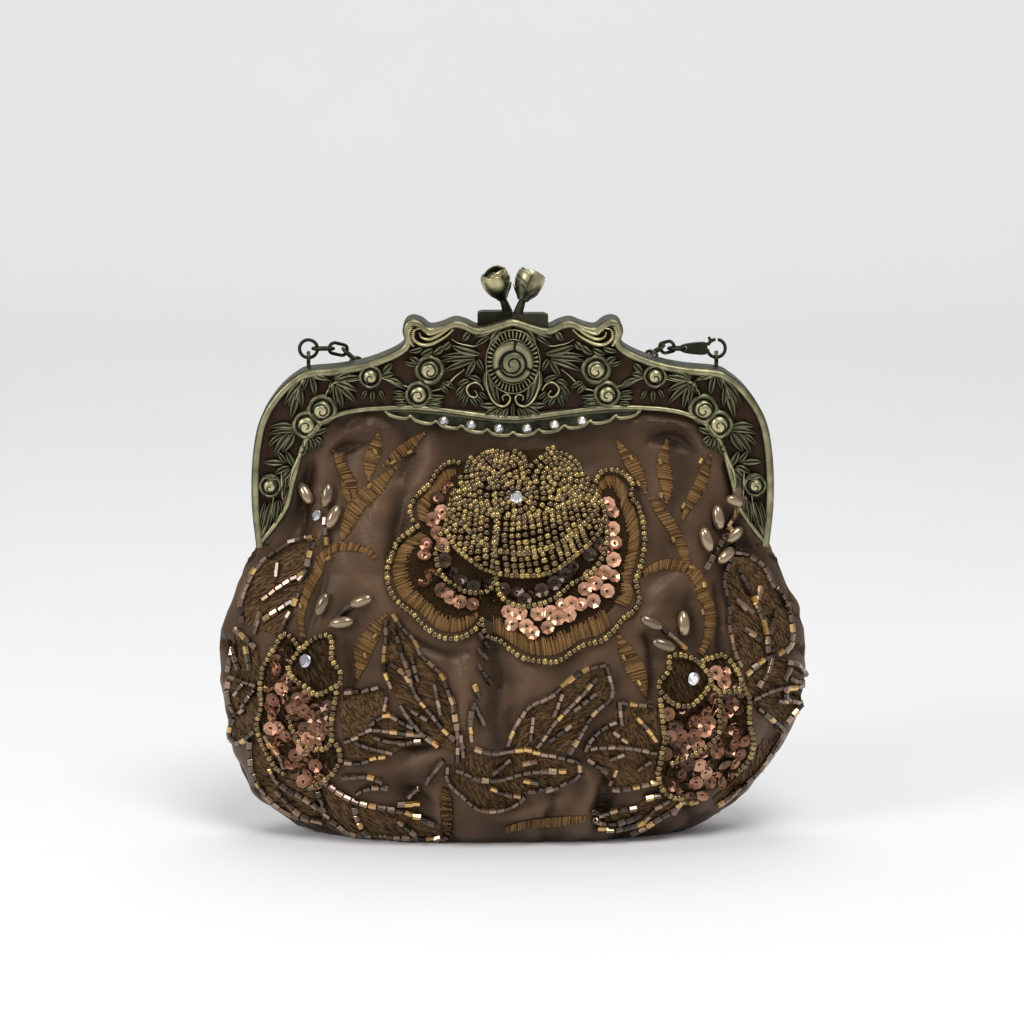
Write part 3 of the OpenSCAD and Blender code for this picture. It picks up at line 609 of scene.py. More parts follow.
def frame_ornament(rise):
    """Everything cast on the front face inside the rim: the right half with its leaves, scrolls, a
    row of short ribs and roses, then its mirror, the middle rose, its ribbed ring between two
    smooth ones, and one leaf below."""
    half = Work()
    for width, bow, ends in CAST_LEAVES:
        leaf_relief(half, *cast_spot(ends), LEAF_FULL * width / PX_PER_MM, rise, -bow / PX_PER_MM)
    for thick, high, pixels in CAST_SCROLLS:
        tapered_scroll(half, curve(cast_spot(pixels), 8), SCROLL_FULL * thick / PX_PER_MM, high)
    for i in range(11):
        ends = np.array([(606 + 0.7 * math.sin(i), 322 + 2 * i), (613 - 0.35 * i, 321.5 + 2.1 * i)])
        tapered_scroll(half, cast_spot(ends), 0.5, 1.5)
    for i, (x, z, size) in enumerate(ROSES):
        rose_relief(half, (x * HALF_W, z * CREST), size * ROSE_R, ROSE_RISE, 0.37 * i)
    whole = Work()
    whole.take(half)
    whole.take(half.mirrored(0))
    centre = (0.0, ROSE_Z_SHARE * CREST)
    rose_relief(whole, centre, ROSE_R * 0.92, MIDDLE_ROSE_RISE, 0.2, 0.95, 2.1, (82, 205, 335))
    r = np.linspace(1, 0, 11)[:, None]
    a = np.linspace(0, 2 * math.pi, 440, endpoint=False)[None, :]
    ribs = 0.5 + 0.5 * np.cos(40 * a)
    height = RING_RISE * np.sqrt(np.maximum(1 - (2 * r - 1) ** 4, 0)) * (0.45 + 0.55 * ribs)
    reach = ROSE_R + 0.1 + r * RING_WIDTH
    wide, tall = RING_OVAL
    flat = coords(centre[0] + reach * np.sin(-a) * wide, centre[1] + reach * np.cos(a) * tall)
    tone = np.clip(0.75 * height / RING_RISE * ribs + 0.04, 0, 1)
    height = np.where((r > 0.99) | (r < 0.01), -FACE_WALL, height)
    whole.sheet(on_face(flat, height), tone, wrap=True)
    round_ = np.radians(np.linspace(180, -180, 24))
    for radius in (ROSE_R + 0.15, ROSE_R + (RING_WIDTH + 0.2)):
        banded(whole, polar((0, 0), radius, round_) * RING_OVAL + centre, -0.35, 0.7, 1.4, 7)
    leaf_relief(whole, *cast_spot(np.array([(507.5, 400), (507.5, 418)])), 1.9, 1.2)
    return whole


def frame_bands():
    """The smooth rounded rim, rail and scalloped edge, laid over the plain casting, and the dark
    plate between the rail and the scallops."""
    work = Work()
    outer = spaced(curve(both_sides(OUTER), 3), 0.5)
    window = spaced(curve(both_sides(WINDOW), 3), 0.5)
    for line, start, width, rise in ((outer, -0.05, RIM_BAND + 0.1, 1.25),
                                     (window, -RAIL_BAND - 0.05, RAIL_BAND + 0.1, 1.1),
                                     (coords(APRON_X, apron_edge(APRON_X)), -1.3, 1.35, 1.0)):
        banded(work, line, start, width, rise)
    x, t = APRON_X, np.linspace(0, 1, 7)[:, None]
    z = rail_height(x) * (1 - t) + apron_edge(x) * t
    rise = 0.12 + 0.05 * np.sin(x * 5.3 + 3 * np.sin(z * 4.1)) - FACE_WALL * ((t < 0.01) | (t > 0.99))
    work.sheet(on_face(coords(x, z), rise), 0.12)
    return work


def rail_height(x):
    """Height of the rail's lower edge over the hinge at a place along the width."""
    half = curve(WINDOW * (HALF_W, CREST), 3)
    return np.interp(np.abs(x), half[:, 0], half[:, 1])


def apron_edge(x):
    """Lower edge of the apron: cusps on a shallow rise and round scallops below them."""
    u, pitch = np.abs(x) / (APRON_W / 2), APRON_W / SCALLOPS
    s = (np.abs(x) % pitch) / pitch * 2 - 1
    cusp = rail_height(0) - APRON_DROP + APRON_RISE * APRON_W / 2 * np.minimum(u, 1) ** 1.3
    return np.minimum(cusp - SCALLOP_DROP * np.sqrt(1 - s ** 2), rail_height(x))


# Small repeated shapes.
def turned(ring, sides):
    """Closed shape turned round the z axis from a ring of (radius, z) points."""
    a = np.linspace(0, 2 * math.pi, sides, endpoint=False)[:, None]
    points = round_axis(ring[:, 0], a, ring[:, 1])
    rows, cols = np.arange(sides)[:, None], np.arange(len(ring))[None, :]
    row, col = rows * len(ring), (cols + 1) % len(ring)
    after = (rows + 1) % sides * len(ring)
    faces = np.stack([row + cols, row + col, after + col, after + cols], -1)
    return points.reshape(-1, 3), faces.reshape(-1, 4)


def revolved(profile, sides):
    """The same round the x axis, from a ring of (x, radius) points that runs the other way."""
    points, faces = turned(profile[:, ::-1], sides)
    return points[:, [2, 0, 1]], faces[:, ::-1]


def seed_shape(radius):
    """A seed bead lying on its thread: a fat ring, flattened at both ends."""
    return revolved(radius * np.array([(-0.78, 0.6), (-0.4, 0.95), (0.4, 0.95), (0.78, 0.6), (0.5, 0.25),
                                       (-0.5, 0.25)]), 8)


def bugle_shape(length, radius):
    """A cut glass tube lying on its thread, with six flat sides."""
    ring = np.array([(-1, 0.8), (-0.9, 1), (0.9, 1), (1, 0.8), (0.9, 0.4), (-0.9, 0.4)])
    return revolved(ring * (length / 2, radius), 6)


def pearl_shape(length, width):
    """A rice pearl, pointed a little at both ends."""
    t = np.linspace(-1, 1, 11)
    return revolved(coords(t * length / 2, width / 2 * (1 - np.abs(t) ** 2.3) ** 0.62 + 0.02), 12)


def cup_shape(radius):
    """A cup sequin: a flat floor with a hole, eight flat sides bent up, and its own underside."""
    return turned(radius * np.array([(0.2, 0.03), (0.5, 0.0), (1.0, 0.24), (1.0, 0.2), (0.5, -0.06),
                                     (0.2, -0.03)]), 8)


def stone_shape(radius):
    """A round cut stone: table, eight crown facets, girdle and pavilion."""
    rings = [(0.0, 0.62), (0.55, 0.62), (0.98, 0.28), (1.0, 0.2), (0.2, -0.3), (0.0, -0.32)]
    a = np.linspace(0, 2 * math.pi, 8, endpoint=False)
    points = np.stack([round_axis(r, a + 0.39 * (i % 2), z) for i, (r, z) in enumerate(rings)])
    return points.reshape(-1, 3) * radius, quads(6, 8, wrap=True)[:, ::-1]


def set_out(work, shape, places, along, out, tones, scales=None):
    """Adds a copy of a small shape at each place: its x runs along, its z points out."""
    template, faces = shape
    out = out / np.linalg.norm(out, axis=1, keepdims=True)
    side = np.cross(out, along)
    side /= np.maximum(np.linalg.norm(side, axis=1, keepdims=True), 1e-9)
    basis = np.stack([np.cross(side, out), side, out], -1)
    copies = np.einsum("nij,mj->nmi", basis, template)
    if scales is not None:
        copies *= np.asarray(scales)[:, None, None]
    many = faces[None] + (np.arange(len(places)) * len(template))[:, None, None]
    work.add(places[:, None, :] + copies, many.reshape(-1, faces.shape[1]), tones[:, None])


# The satin pouch.
FACE_IN = FACE_Y - FACE_WALL
TUCK_Y = FACE_IN - 0.35
SIDE_TOP = HINGE_Z + 4


def hang(z):
    """How far the pouch hangs to the left at a height: all of it low down, none above the widest."""
    return -HANG * ease((HANG_TOP - z) / (HANG_TOP - HANG_LOW))


def girth(z):
    """Half width and half depth of the pouch at a height."""
    s = np.clip(z / POUCH_H, 0, 1)
    return (np.interp(s, SIDES[:, 0], SIDES[:, 1]) * POUCH_W / 2,
            np.interp(s, DEPTHS[:, 0], DEPTHS[:, 1]) * POUCH_D / 2)


def lens(t):
    """Depth of the pouch's cross-section at a share of its width: (1 - t^2.4)^0.7."""
    return np.maximum(1 - np.clip(np.abs(t), 0, 1) ** LENS_BEND, 0) ** LENS_ROUND


def window_reach(z):
    """Half width of the window at a height, measured up its leg."""
    half = curve(WINDOW[4:] * (HALF_W, CREST), 3)[::-1]
    return np.interp(z - HINGE_Z, half[:, 1], half[:, 0])


def cloth_depth(x, z):
    """How far the cloth stands in front of the split: the pouch's lens below the hinge,
    drawn in towards the back of the rail and the legs above it."""
    w, d = girth(z)
    full = d * lens(x / np.maximum(w, 1))
    rail = 1 - ease((z - POUCH_H) / (rail_height(0) + HINGE_Z - POUCH_H - APRON_DROP))
    legs = ease((window_reach(z) - 4 - np.abs(x)) / 14)
    held = TUCK_Y + rail * legs * np.maximum(full - TUCK_Y, 0)
    return full + (held - full) * ease((z - POUCH_H) / (SIDE_TOP - POUCH_H))


def ripple(x, z, rng, count, size):
    """Sum of waves in many directions, about 1 high: lumps of one size with no repeat."""
    total = np.zeros_like(x)
    for _ in range(count):
        a, phase, stretch = rng.uniform(0, math.pi), rng.uniform(0, 2 * math.pi), rng.uniform(0.7, 1.4)
        total += np.sin((x * math.cos(a) + z * math.sin(a)) * 2 * math.pi / (size * stretch) + phase)
    return total / math.sqrt(count)


def pouch_grid(cols, base_rows, body_rows, top_rows):
    """Points of the pouch's front before it creases. Columns run from the left seam to the right.
    Rows run from the middle of the base to its edge, up to the hinge, then fan to the window's arch.
    Also returns each row's share of the way and each column's place from -1 to 1."""
    u = np.linspace(-1, 1, cols)[None, :]
    across = np.sin(math.pi / 2 * u)
    w0, d0 = girth(np.array(0.0))
    r = np.linspace(0, 1, base_rows, endpoint=False)[:, None]
    base = coords(w0 * across, -d0 * lens(across) * r, FLOOR_Z)
    v = np.linspace(0, 1, body_rows, endpoint=False)[:, None]
    z = HINGE_Z * (0.25 * v + 0.75 * v ** 1.25) + FLOOR_Z
    x = (girth(z)[0] - SEAM_IN * ease((z - POUCH_H) / (HINGE_Z - POUCH_H))) * across
    body = coords(x, -cloth_depth(x, z), z)
    arch = moved_in(curve(both_sides(WINDOW), 8), -1.6)
    share = (np.linspace(-1, 1, cols) + 1) / 2
    steps = np.concatenate([[0], np.cumsum(np.linalg.norm(np.diff(arch, axis=0), axis=1))])
    at = share * steps[-1]
    edge = coords(np.interp(at, steps, arch[:, 0]), HINGE_Z + np.interp(at, steps, arch[:, 1]))
    foot = coords((girth(HINGE_Z)[0] - SEAM_IN) * across[0], HINGE_Z + FLOOR_Z)
    t = np.linspace(0, 1, top_rows)[:, None, None]
    x, z = np.moveaxis(foot * (1 - t) + edge * t, -1, 0)
    top = coords(x, -cloth_depth(x, z), z)
    grid = np.concatenate([base, body, top])
    grid[..., 0] += hang(grid[..., 2])
    rows = np.concatenate([np.linspace(-0.2, 0, base_rows, endpoint=False),
                           np.linspace(0, 1, body_rows, endpoint=False), np.linspace(1, 2, top_rows)])
    return grid, *np.broadcast_arrays(rows[:, None], u)


def grid_normals(grid):
    """Unit way out of a grid of points at each point."""
    du, dv = np.gradient(grid, axis=1), np.gradient(grid, axis=0)
    n = np.cross(du, dv)
    return n / np.maximum(np.linalg.norm(n, axis=-1, keepdims=True), 1e-9)


def creased(grid, v, u, seed, depth):
    """Pushes the cloth in and out along its normal: gathers that fan from the rail and die out
    downwards, folds that hang and bend where waves cross, a few pinched valleys, and puckers
    near the seams and the base."""
    rng = np.random.default_rng(seed)
    x, z = grid[..., 0], grid[..., 2]
    warp = 7 * ripple(x, z, rng, 5, 60)
    near_rail = ease((v - 0.7) / 1.1)
    gathers = np.sin(u * 30 + 1.8 * np.sin(u * 9 + seed) + 0.8 * v) * (0.5 + 0.5 * np.sin(u * 13 + 2))
    hanging = ripple(x + warp, 0.3 * z - 0.5 * warp, rng, 5, 24)
    folds = ripple(x + warp, z * 0.7 - warp, rng, 6, 34)
    broken = ease(0.4 + 0.7 * ripple(x, z, rng, 4, 36))
    pinch = np.exp(-(ripple(x + warp, 0.45 * z + warp, rng, 4, 36) / 0.3) ** 2) * broken
    fine = ripple(x + warp, z + warp, rng, 6, 11)
    seam = ease((np.abs(u) - 0.72) / 0.28) * np.sin(z / 4.2 + 2 * np.sin(z / 11 + seed))
    low = ease((0.45 - v) / 0.45) * np.sin(u * 40 + 2 * np.sin(u * 7 + seed))
    push = (0.9 * gathers * near_rail + 0.5 * hanging + 0.45 * folds - 0.5 * pinch + 0.12 * fine
            + 0.45 * seam + 0.4 * low)
    return grid + grid_normals(grid) * (depth * loose(v, u) * push)[..., None]


def loose(v, u):
    """How free the cloth is: 0 where it is sewn at the seams and the arch, 1 away from them."""
    return ease((1 - np.abs(u)) / 0.06) * ease((2 - v) / 0.10) * ease((v + 0.02) / 0.06)


# Folds of the satin as drawn in the photograph: half width in pixels, height in mm and points.
FOLDS = drawings("""
    8 1.9 336,441 350,431 368,427 386,431; 5 -1.5 333,453 350,447 370,443; 8 -1.4 408,430 411,450 404,476;
    8 1.3 433,436 429,460 421,482; 9 -2.0 402,498 397,528 392,558; 10 1.5 376,500 371,528 377,556; 7 -2.0
    312,466 306,492 303,520; 12 1.2 350,566 370,585 384,606; 6 -1.5 347,645 352,672 346,698; 6 -1.4
    415,640 438,652 466,652; 7 1.5 462,660 465,692 462,722; 8 -1.8 492,640 498,680 492,715 500,742; 9 1.3
    520,662 530,682 516,702; 5 -1.8 392,742 415,747 442,744; 8 1.3 402,768 425,760 441,756; 8 1.4 436,792
    440,812 438,830; 6 -1.6 402,792 422,800; 8 1.1 500,816 530,812 562,800; 5 -1.5 549,776 553,800
    545,828; 6 1.6 585,770 592,790 584,812; 5 -1.9 606,772 611,795 604,814; 6 -1.9 648,636 652,668
    650,700; 7 1.2 652,602 668,584 684,571; 6 1.0 640,626 656,610; 6 -1.3 690,590 688,620 694,646; 5 -1.7
    716,588 719,620 722,652; 7 -1.5 725,518 738,543 752,552; 7 1.3 745,508 757,528 767,548; 9 2.4 640,424
    665,421 688,428 701,446; 5 -1.5 650,440 674,439 694,452; 6 -1.7 728,466 738,486 744,504; 4 -2.2
    222,643 238,648; 4 -2.0 222,717 240,713; 9 1.2 226,680 240,690; 4 -2.0 808,652 792,645; 5 -1.8 804,702
    788,692; 5 -1.4 797,612 782,600; 6 -1.8 250,800 275,770; 6 -1.9 322,800 318,828; 5 -1.8 449,800
    448,836; 6 -2.0 602,790 600,828; 6 -1.8 680,790 692,820; 6 -1.6 725,770 742,790; 8 1.1 560,690 585,672
    600,655; 6 -1.2 520,740 508,722 515,700""")


def folded(grid, v, u):
    """Lays the drawn folds into the smooth cloth: height times exp(-(distance / width)^1.6)."""
    ground = Ground(grid)
    out = grid_normals(grid)
    flat = grid.reshape(-1, 3)
    push = np.zeros(len(flat))
    for width, height, points in FOLDS:
        line = spaced(curve(points, 6), 5.0)
        places, _ = ground.land(line)
        t = np.linspace(0, 1, len(places))
        reach = 3.2 * width / PX_PER_MM
        close = (flat > places.min(0) - reach) & (flat < places.max(0) + reach)
        near = np.flatnonzero(np.all(close, axis=1))
        apart = np.linalg.norm(flat[near, None] - places[None], axis=2) / (width / PX_PER_MM)
        fade = np.sqrt(np.sin(math.pi * np.clip(0.12 + 0.76 * t, 0, 1)))
        push[near] += FOLD_STRENGTH * height * (np.exp(-apart ** 1.6) * fade).max(1)
    return grid + out * (push.reshape(v.shape) * loose(v, u))[..., None]


def pouch_work(seed, cols, depth, drawn):
    """The creased front of the pouch as one surface, its cloth map in metres. Its marks are
    painted shade and light: dark in the valleys, light on the ridges, and darker where the cloth
    tucks under the rail and near the base."""
    smooth, v, u = pouch_grid(cols, *POUCH_ROWS)
    grid = folded(smooth, v, u) if drawn else smooth
    grid = creased(grid, v, u, seed, depth * (0.8 if drawn else 1.0))
    pushed = np.sum((grid - smooth) * grid_normals(smooth), -1)
    # Painted shade and light: the marks are light on the ridges and dark in the valleys of the creases, and
    # darker under the rail and near the base.
    rail_and_base_shade = ease((2.0 - v) / (0.5 - 0.32 * np.abs(u))) * (0.6 + 0.4 * ease((v + 0.05) / 0.25))
    tone = (0.54 + 0.46 * np.tanh(0.85 * pushed)) * (0.15 + 0.85 * rail_and_base_shade)
    work = Work()
    spot = coords(grid[..., 0], grid[..., 2] + (v < 0) * grid[..., 1])
    work.sheet(grid, tone, spot)
    return work, grid


# Depth, in mm, at which a ray that passes the bag stops.
PAST_Y = -14.0


class Ground:
    """The front of the pouch as the camera's rays meet it, so that a bead drawn at a place in
    the picture lies on the cloth there."""

    def __init__(self, grid):
        self.tree = BVHTree.FromPolygons(grid.reshape(-1, 3).tolist(),
                                         quads(*grid.shape[:2]).tolist())

    def land(self, pixels):
        """Places on the cloth, and the way out of it there. A ray that passes the bag takes the
        nearest place to it."""
        eye = Vector(Camera.eye())
        found = []
        for ray in Camera.rays(pixels):
            ray = Vector(ray)
            place, normal = self.tree.ray_cast(eye, ray)[:2]
            if place is None or normal.y > -0.05:
                past = eye + ray * ((PAST_Y - eye.y) / ray.y)
                place, normal = self.tree.find_nearest(past)[:2]
            found.append((*place, *normal))
        found = np.array(found).reshape(-1, 6)
        return found[:, :3], found[:, 3:]

    def string(self, pixels, pitch, closed=False):
        """Evenly spaced places along a line drawn in the picture, with its direction on the
        cloth and the way out of it."""
        line = closed_curve(pixels, 10) if closed else curve(pixels, 10)
        places, out = self.land(spaced(line, 1.6))
        both = spaced(np.concatenate([places, out * pitch * 0.01], 1), pitch)
        places, out = both[:, :3], both[:, 3:]
        if closed:
            places, out = places[:-1], out[:-1]
        return places, directions(places) if len(places) > 1 else out, out


# Beadwork, drawn in pixels of the photograph. Sizes of its beads in mm: radius, or length and
# radius, or length and width. Strings of seed beads have a pitch in radii, and the dome's rings
# a pitch and a step along them in pixels.
SEED_R = 1.28
DOME_SEED_R = 1.32
FLOWER_SEED_R = 1.25
HOLDING_SEED_R = 0.42
SEED_PITCH = 1.47
RING_PITCH = 5.7
RING_STEP = 5.5
LEAF_TUBE = (2.9, 1.1)
SPRIG_TUBE = (2.0, 0.75)
CUP_R = 2.6
RICE_PEARL = (9.4, 4.3)
# Least height of beads and threads over the table, in mm.
BEAD_FLOOR = 0.15
THREAD_FLOOR = 0.1


class Beadwork:
    """Gathers the beads of one kind of piece as they are sewn on."""

    def __init__(self, ground, seed):
        self.ground = ground
        self.rng = np.random.default_rng(seed)
        self.work = Work()

    def marks(self, count, low=0.0, high=1.0):
        return self.rng.uniform(low, high, count)

    def put(self, shape, places, along, out, lift, tones=None, scales=None):
        """Adds beads that lie out of the cloth by a lift and clear of the table."""
        unit = out / np.maximum(np.linalg.norm(out, axis=1, keepdims=True), 1e-9)
        tones = self.marks(len(places)) if tones is None else tones
        at = places + unit * lift
        at[:, 2] = np.maximum(at[:, 2], BEAD_FLOOR + np.linalg.norm(shape[0], axis=1).max())
        set_out(self.work, shape, at, along, unit, tones, scales)

    def seeds(self, pixels, lift, radius=SEED_R, closed=False):
        """A string of seed beads, each turned and sized a little differently."""
        places, along, out = self.ground.string(pixels, radius * SEED_PITCH, closed)
        n = len(places)
        along = along + self.rng.normal(0, 0.14, (n, 3))
        places = places + self.rng.normal(0, 0.07, (n, 3))
        height = radius * 0.8 + (lift(places) if callable(lift) else lift)
        self.put(seed_shape(radius), places, along, out,
                 height if np.ndim(height) == 0 else height[:, None],
                 self.marks(n, 0.2, 1.0), self.rng.uniform(0.88, 1.1, n))

    def rings(self, outline, centre):
        """Rings of seed beads round a middle, as far as they lie inside a drawn outline."""
        spots, ways = [], []
        for radius in np.arange(RING_PITCH / 2, 70, RING_PITCH):
            a = np.arange(0, 2 * math.pi, RING_STEP / radius) + self.rng.uniform(0, 3)
            spots.append(polar(centre, radius, a))
            ways.append(coords(-np.sin(a), np.cos(a)))
        spots, ways = np.concatenate(spots), np.concatenate(ways)
        keep = inside(outline, spots)
        spots, ways = spots[keep] + self.rng.normal(0, 0.25, (keep.sum(), 2)), ways[keep]
        places, out = self.ground.land(spots)
        n = len(places)
        along = self.ground.land(spots + 2 * ways)[0] - places + self.rng.normal(0, 0.08, (n, 3))
        self.put(seed_shape(DOME_SEED_R), places, along, out, 1.0 + dome_lift(places)[:, None],
                 self.marks(n, 0.15), self.rng.uniform(0.9, 1.08, n))

    def bugles(self, pixels, lift):
        """A string of cut tubes, end to end."""
        length, radius = LEAF_TUBE
        places, along, out = self.ground.string(pixels, length * 1.03)
        if len(places) > 1:
            places, along, out = ((q[1:] + q[:-1]) / 2 for q in (places, along, out))
        n = len(places)
        along = along + self.rng.normal(0, 0.06, (n, 3))
        self.put(bugle_shape(length, radius), places, along, out, radius * 0.9 + lift,
                 self.marks(n), self.rng.uniform(0.9, 1.04, n))

    def single(self, shape, middle, way, lift, low):
        """One bead on a drawn middle, along a drawn way, its mark at least low."""
        ends, out = self.ground.land([middle - way, middle + way])
        self.put(shape, ends.mean(0)[None], (ends[1] - ends[0])[None], out.mean(0)[None], lift,
                 self.marks(1, low))

    def sequins(self, spots, tones, tilt):
        """Cup sequins, each leaning its own way and lying a little higher or lower."""
        places, out = self.ground.land(spots)
        n = len(places)
        lean = out + self.rng.normal(0, tilt, (n, 3))
        along = self.rng.normal(0, 1, (n, 3))
        lift = self.rng.uniform(0.7, 1.5, (n, 1))
        self.put(cup_shape(CUP_R), places, along, lean, lift, self.marks(n, *tones),
                 self.rng.uniform(0.92, 1.06, n))
        return places + out * lift, out


def threads(work, ground, first, last, half, rise, tones, rng, samples):
    """Threads between places in the picture: each is a low arch, sqrt(sin) high, with a
    half-hexagon section whose two edges are painted darker as painted shade between the strands."""
    count, t = len(first), np.linspace(0, 1, samples)
    pixels = first[:, None] * (1 - t[:, None]) + last[:, None] * t[:, None]
    places, out = ground.land(pixels.reshape(-1, 2))
    places, out = places.reshape(count, samples, 3), out.reshape(count, samples, 3)
    places[..., 2] = np.maximum(places[..., 2], 0.2)
    out /= np.linalg.norm(out, axis=-1, keepdims=True)
    along = np.gradient(places, axis=1)
    side = np.cross(out, along)
    side /= np.maximum(np.linalg.norm(side, axis=-1, keepdims=True), 1e-9)
    arch = rise * np.sqrt(np.sin(math.pi * np.clip(t, 0.06, 0.94)))[None, :, None]
    section = [(-half, -0.05), (-0.6 * half, 0.55 * half), (0.6 * half, 0.55 * half), (half, -0.05)]
    rows = np.stack([places + side * s + out * (arch + h) for s, h in section], 2)
    rows[..., 2] = np.maximum(rows[..., 2], THREAD_FLOOR)
    many = quads(samples, 4)[None] + (np.arange(count) * samples * 4)[:, None, None]
    # Painted shade: each thread's two edge rows are marked 0.4 darker than its crown; the rest of the mark is
    # random tone.
    marks = rng.uniform(*tones, count)[:, None, None] - [0.4, 0, 0, 0.4]
    work.add(rows, many.reshape(-1, 4)[:, ::-1], marks)


def stitch(work, ground, left, right, pitch, rng, rise, wide, tones, ragged):
    """Satin stitch between two drawn lines, its second end ragged."""
    a, b = (spaced(curve(q, 10), 0.5) for q in (left, right))
    length = max(np.linalg.norm(np.diff(q, axis=0), axis=1).sum() for q in (a, b)) / PX_PER_MM
    count = max(int(length / pitch), 3)
    at = np.linspace(0.01, 0.99, count) + rng.normal(0, 0.15 / count, count)
    ends = [along_line(q, at) for q in (a, b)]
    keep = np.linalg.norm(ends[1] - ends[0], axis=1) > 1.0
    first, last = ends[0][keep], ends[1][keep]
    last = last + (last - first) * rng.uniform(-ragged, ragged, (len(first), 1))
    if len(first):
        threads(work, ground, first, last, wide * pitch, rise, tones, rng, 5)


def leaf_stitches(work, ground, left, right, rng, tones, stride=4.4, reach=6.6, gap=1.6):
    """Short slanting stitches that fill a shape between its two drawn edges, in staggered rows. In
    pixels, rows are a stride apart, stitches a gap apart and each a reach long."""
    a, b = (spaced(curve(q, 10), 1.0) for q in (left, right))
    length = max(len(a), len(b))
    across = along_line(a, np.linspace(0, 1, 9)) - along_line(b, np.linspace(0, 1, 9))
    width = max(np.linalg.norm(across, axis=1).mean(), 3)
    v, u = np.meshgrid(np.arange(0, 1, stride / length), np.arange(0, 1, gap / width), indexing="ij")
    v = v + rng.uniform(-0.5, 0.5, v.shape) * stride / length
    u = u + rng.normal(0, 0.15, u.shape) * gap / width

    def spot(u, v):
        v, u = np.clip(v, 0, 1), np.clip(u, 0, 1)[..., None]
        return along_line(a, v) * (1 - u) + along_line(b, v) * u

    slant = 3.0 / width
    ends = spot(u - slant / 2, v), spot(u + slant / 2, v + reach / length)
    first, last = (q.reshape(-1, 2) for q in ends)
    keep = np.linalg.norm(last - first, axis=1) > 2.0
    threads(work, ground, first[keep], last[keep], gap * 0.6 / PX_PER_MM, 0.35, tones, rng, 3)


# The middle rose: the place and reach of its padding, its height in mm, and the petals of its
# dome, each as the middle of its rings of seed beads and its outline.
DOME = (520.0, 512.0)
DOME_REACH = (76.0, 67.0)
DOME_RISE = 3.4
DOME_PETALS = drawings("""
    497,477 460,490 461,475 468,462 480,453 496,448 514,450 527,457 532,468 524,478 508,482 490,484
    474,490; 556,480 532,468 537,457 549,449 563,452 577,463 588,478 595,494 598,506 580,505 565,503
    552,498 540,488 530,478; 518,500 451,502 458,491 474,489 490,484 508,482 524,478 530,478 540,488
    552,498 565,503 580,504 562,509 545,516 524,521 503,521 484,517 466,510""")
# Rims of the dome's petals, and the columns of beads that hang between them.
DOME_RIMS = drawings("""
    453,500 466,510 484,517 503,521 524,521 545,516 562,508 580,503 595,503; 449,516 457,524 473,538
    487,548 504,554 523,555 542,551 559,543 575,532 588,521 597,510; 447,533 457,549 473,562 492,571
    515,574 537,574 559,567 581,552 597,536 602,522""")
# Strings of seed beads on the lips and edges of the rose's outer petals.
ROSE_STRINGS = drawings("""
    447,550 437,548 437,562 444,577 457,588 472,593 488,591 497,579; 497,579 500,595 510,603 525,607
    541,604 556,597 569,586 584,578 597,565 605,548 606,525 602,505 594,488; 455,492 449,508 446,525
    438,540; 459,463 448,463 437,471 428,484 418,496 411,509 414,522; 418,527 405,537 394,550 388,566
    389,586 398,602 414,614 425,627 441,637 458,638 473,631 482,620; 482,620 486,635 500,640 510,649
    522,658 540,661 556,661 571,653 583,645 600,641 613,631; 613,631 622,619 634,611 639,597 635,582
    640,566 644,545 643,520 638,505 631,498 632,485 625,475 612,470 600,474 593,487""")
# Padded edges of the outer petals: outer and inner edge.
ROSE_FLOSS = pairs("""
    456,470 445,470 436,480 426,493 418,505 419,522; 458,484 450,490 444,497 437,507 434,517 431,527;
    420,532 403,545 394,560 394,582 403,599 420,612 438,629 457,632 472,625 481,612; 432,538 420,551
    415,565 418,580 427,592 441,603 455,610 468,610 479,604; 611,626 599,635 581,640 567,649 553,655
    536,655 521,650 509,641 499,634 489,629; 603,606 592,616 577,622 562,630 546,636 531,636 518,630
    508,623 499,617 489,614; 594,491 602,479 613,476 623,484 627,497 634,507 638,522 639,542 635,562
    630,580 633,595 624,612; 603,500 608,492 613,496 616,507 619,520 622,536 621,554 616,572 615,587
    607,603""")
# Places of the rose's cups, and the outlines of its padding and of the side flowers' cups.
COPPER_CUPS, DARK_CUPS, ROSE_PAD, LEFT_CUPS, RIGHT_CUPS = drawings("""
    436,500 443,512 432,520 437,533 428,545 440,546 424,558 431,571 427,583 441,590 450,598 461,603
    473,606 446,487 508,611 520,612 513,624 527,626 538,614 532,633 547,628 550,613 561,606 558,618
    572,603 569,616 584,590 581,606 592,601 597,584 606,592 611,578 604,572 613,560 606,551 614,545
    612,529 611,513 607,505 600,575 590,577; 450,574 461,583 474,586 486,587 505,590 517,594 530,592
    542,590 554,583 566,576 578,567 590,556 597,543 599,522 445,560 441,573 452,590 480,598 494,601
    524,600 494,586; 426,500 420,524 405,548 402,578 412,600 440,618 470,620 489,620 506,634 536,644
    566,637 596,622 614,606 628,585 628,560 633,536 627,505 614,486 595,484 562,453 520,450 480,452
    452,473 436,486; 282,642 272,664 270,700 266,730 274,752 292,772 306,786 326,776 334,760 322,748
    328,730 330,705 314,698 296,686 290,668 294,650; 668,706 667,740 663,772 676,792 700,794 722,780
    740,758 744,726 742,696 732,674 722,664 708,664 712,686 704,700 690,710""")
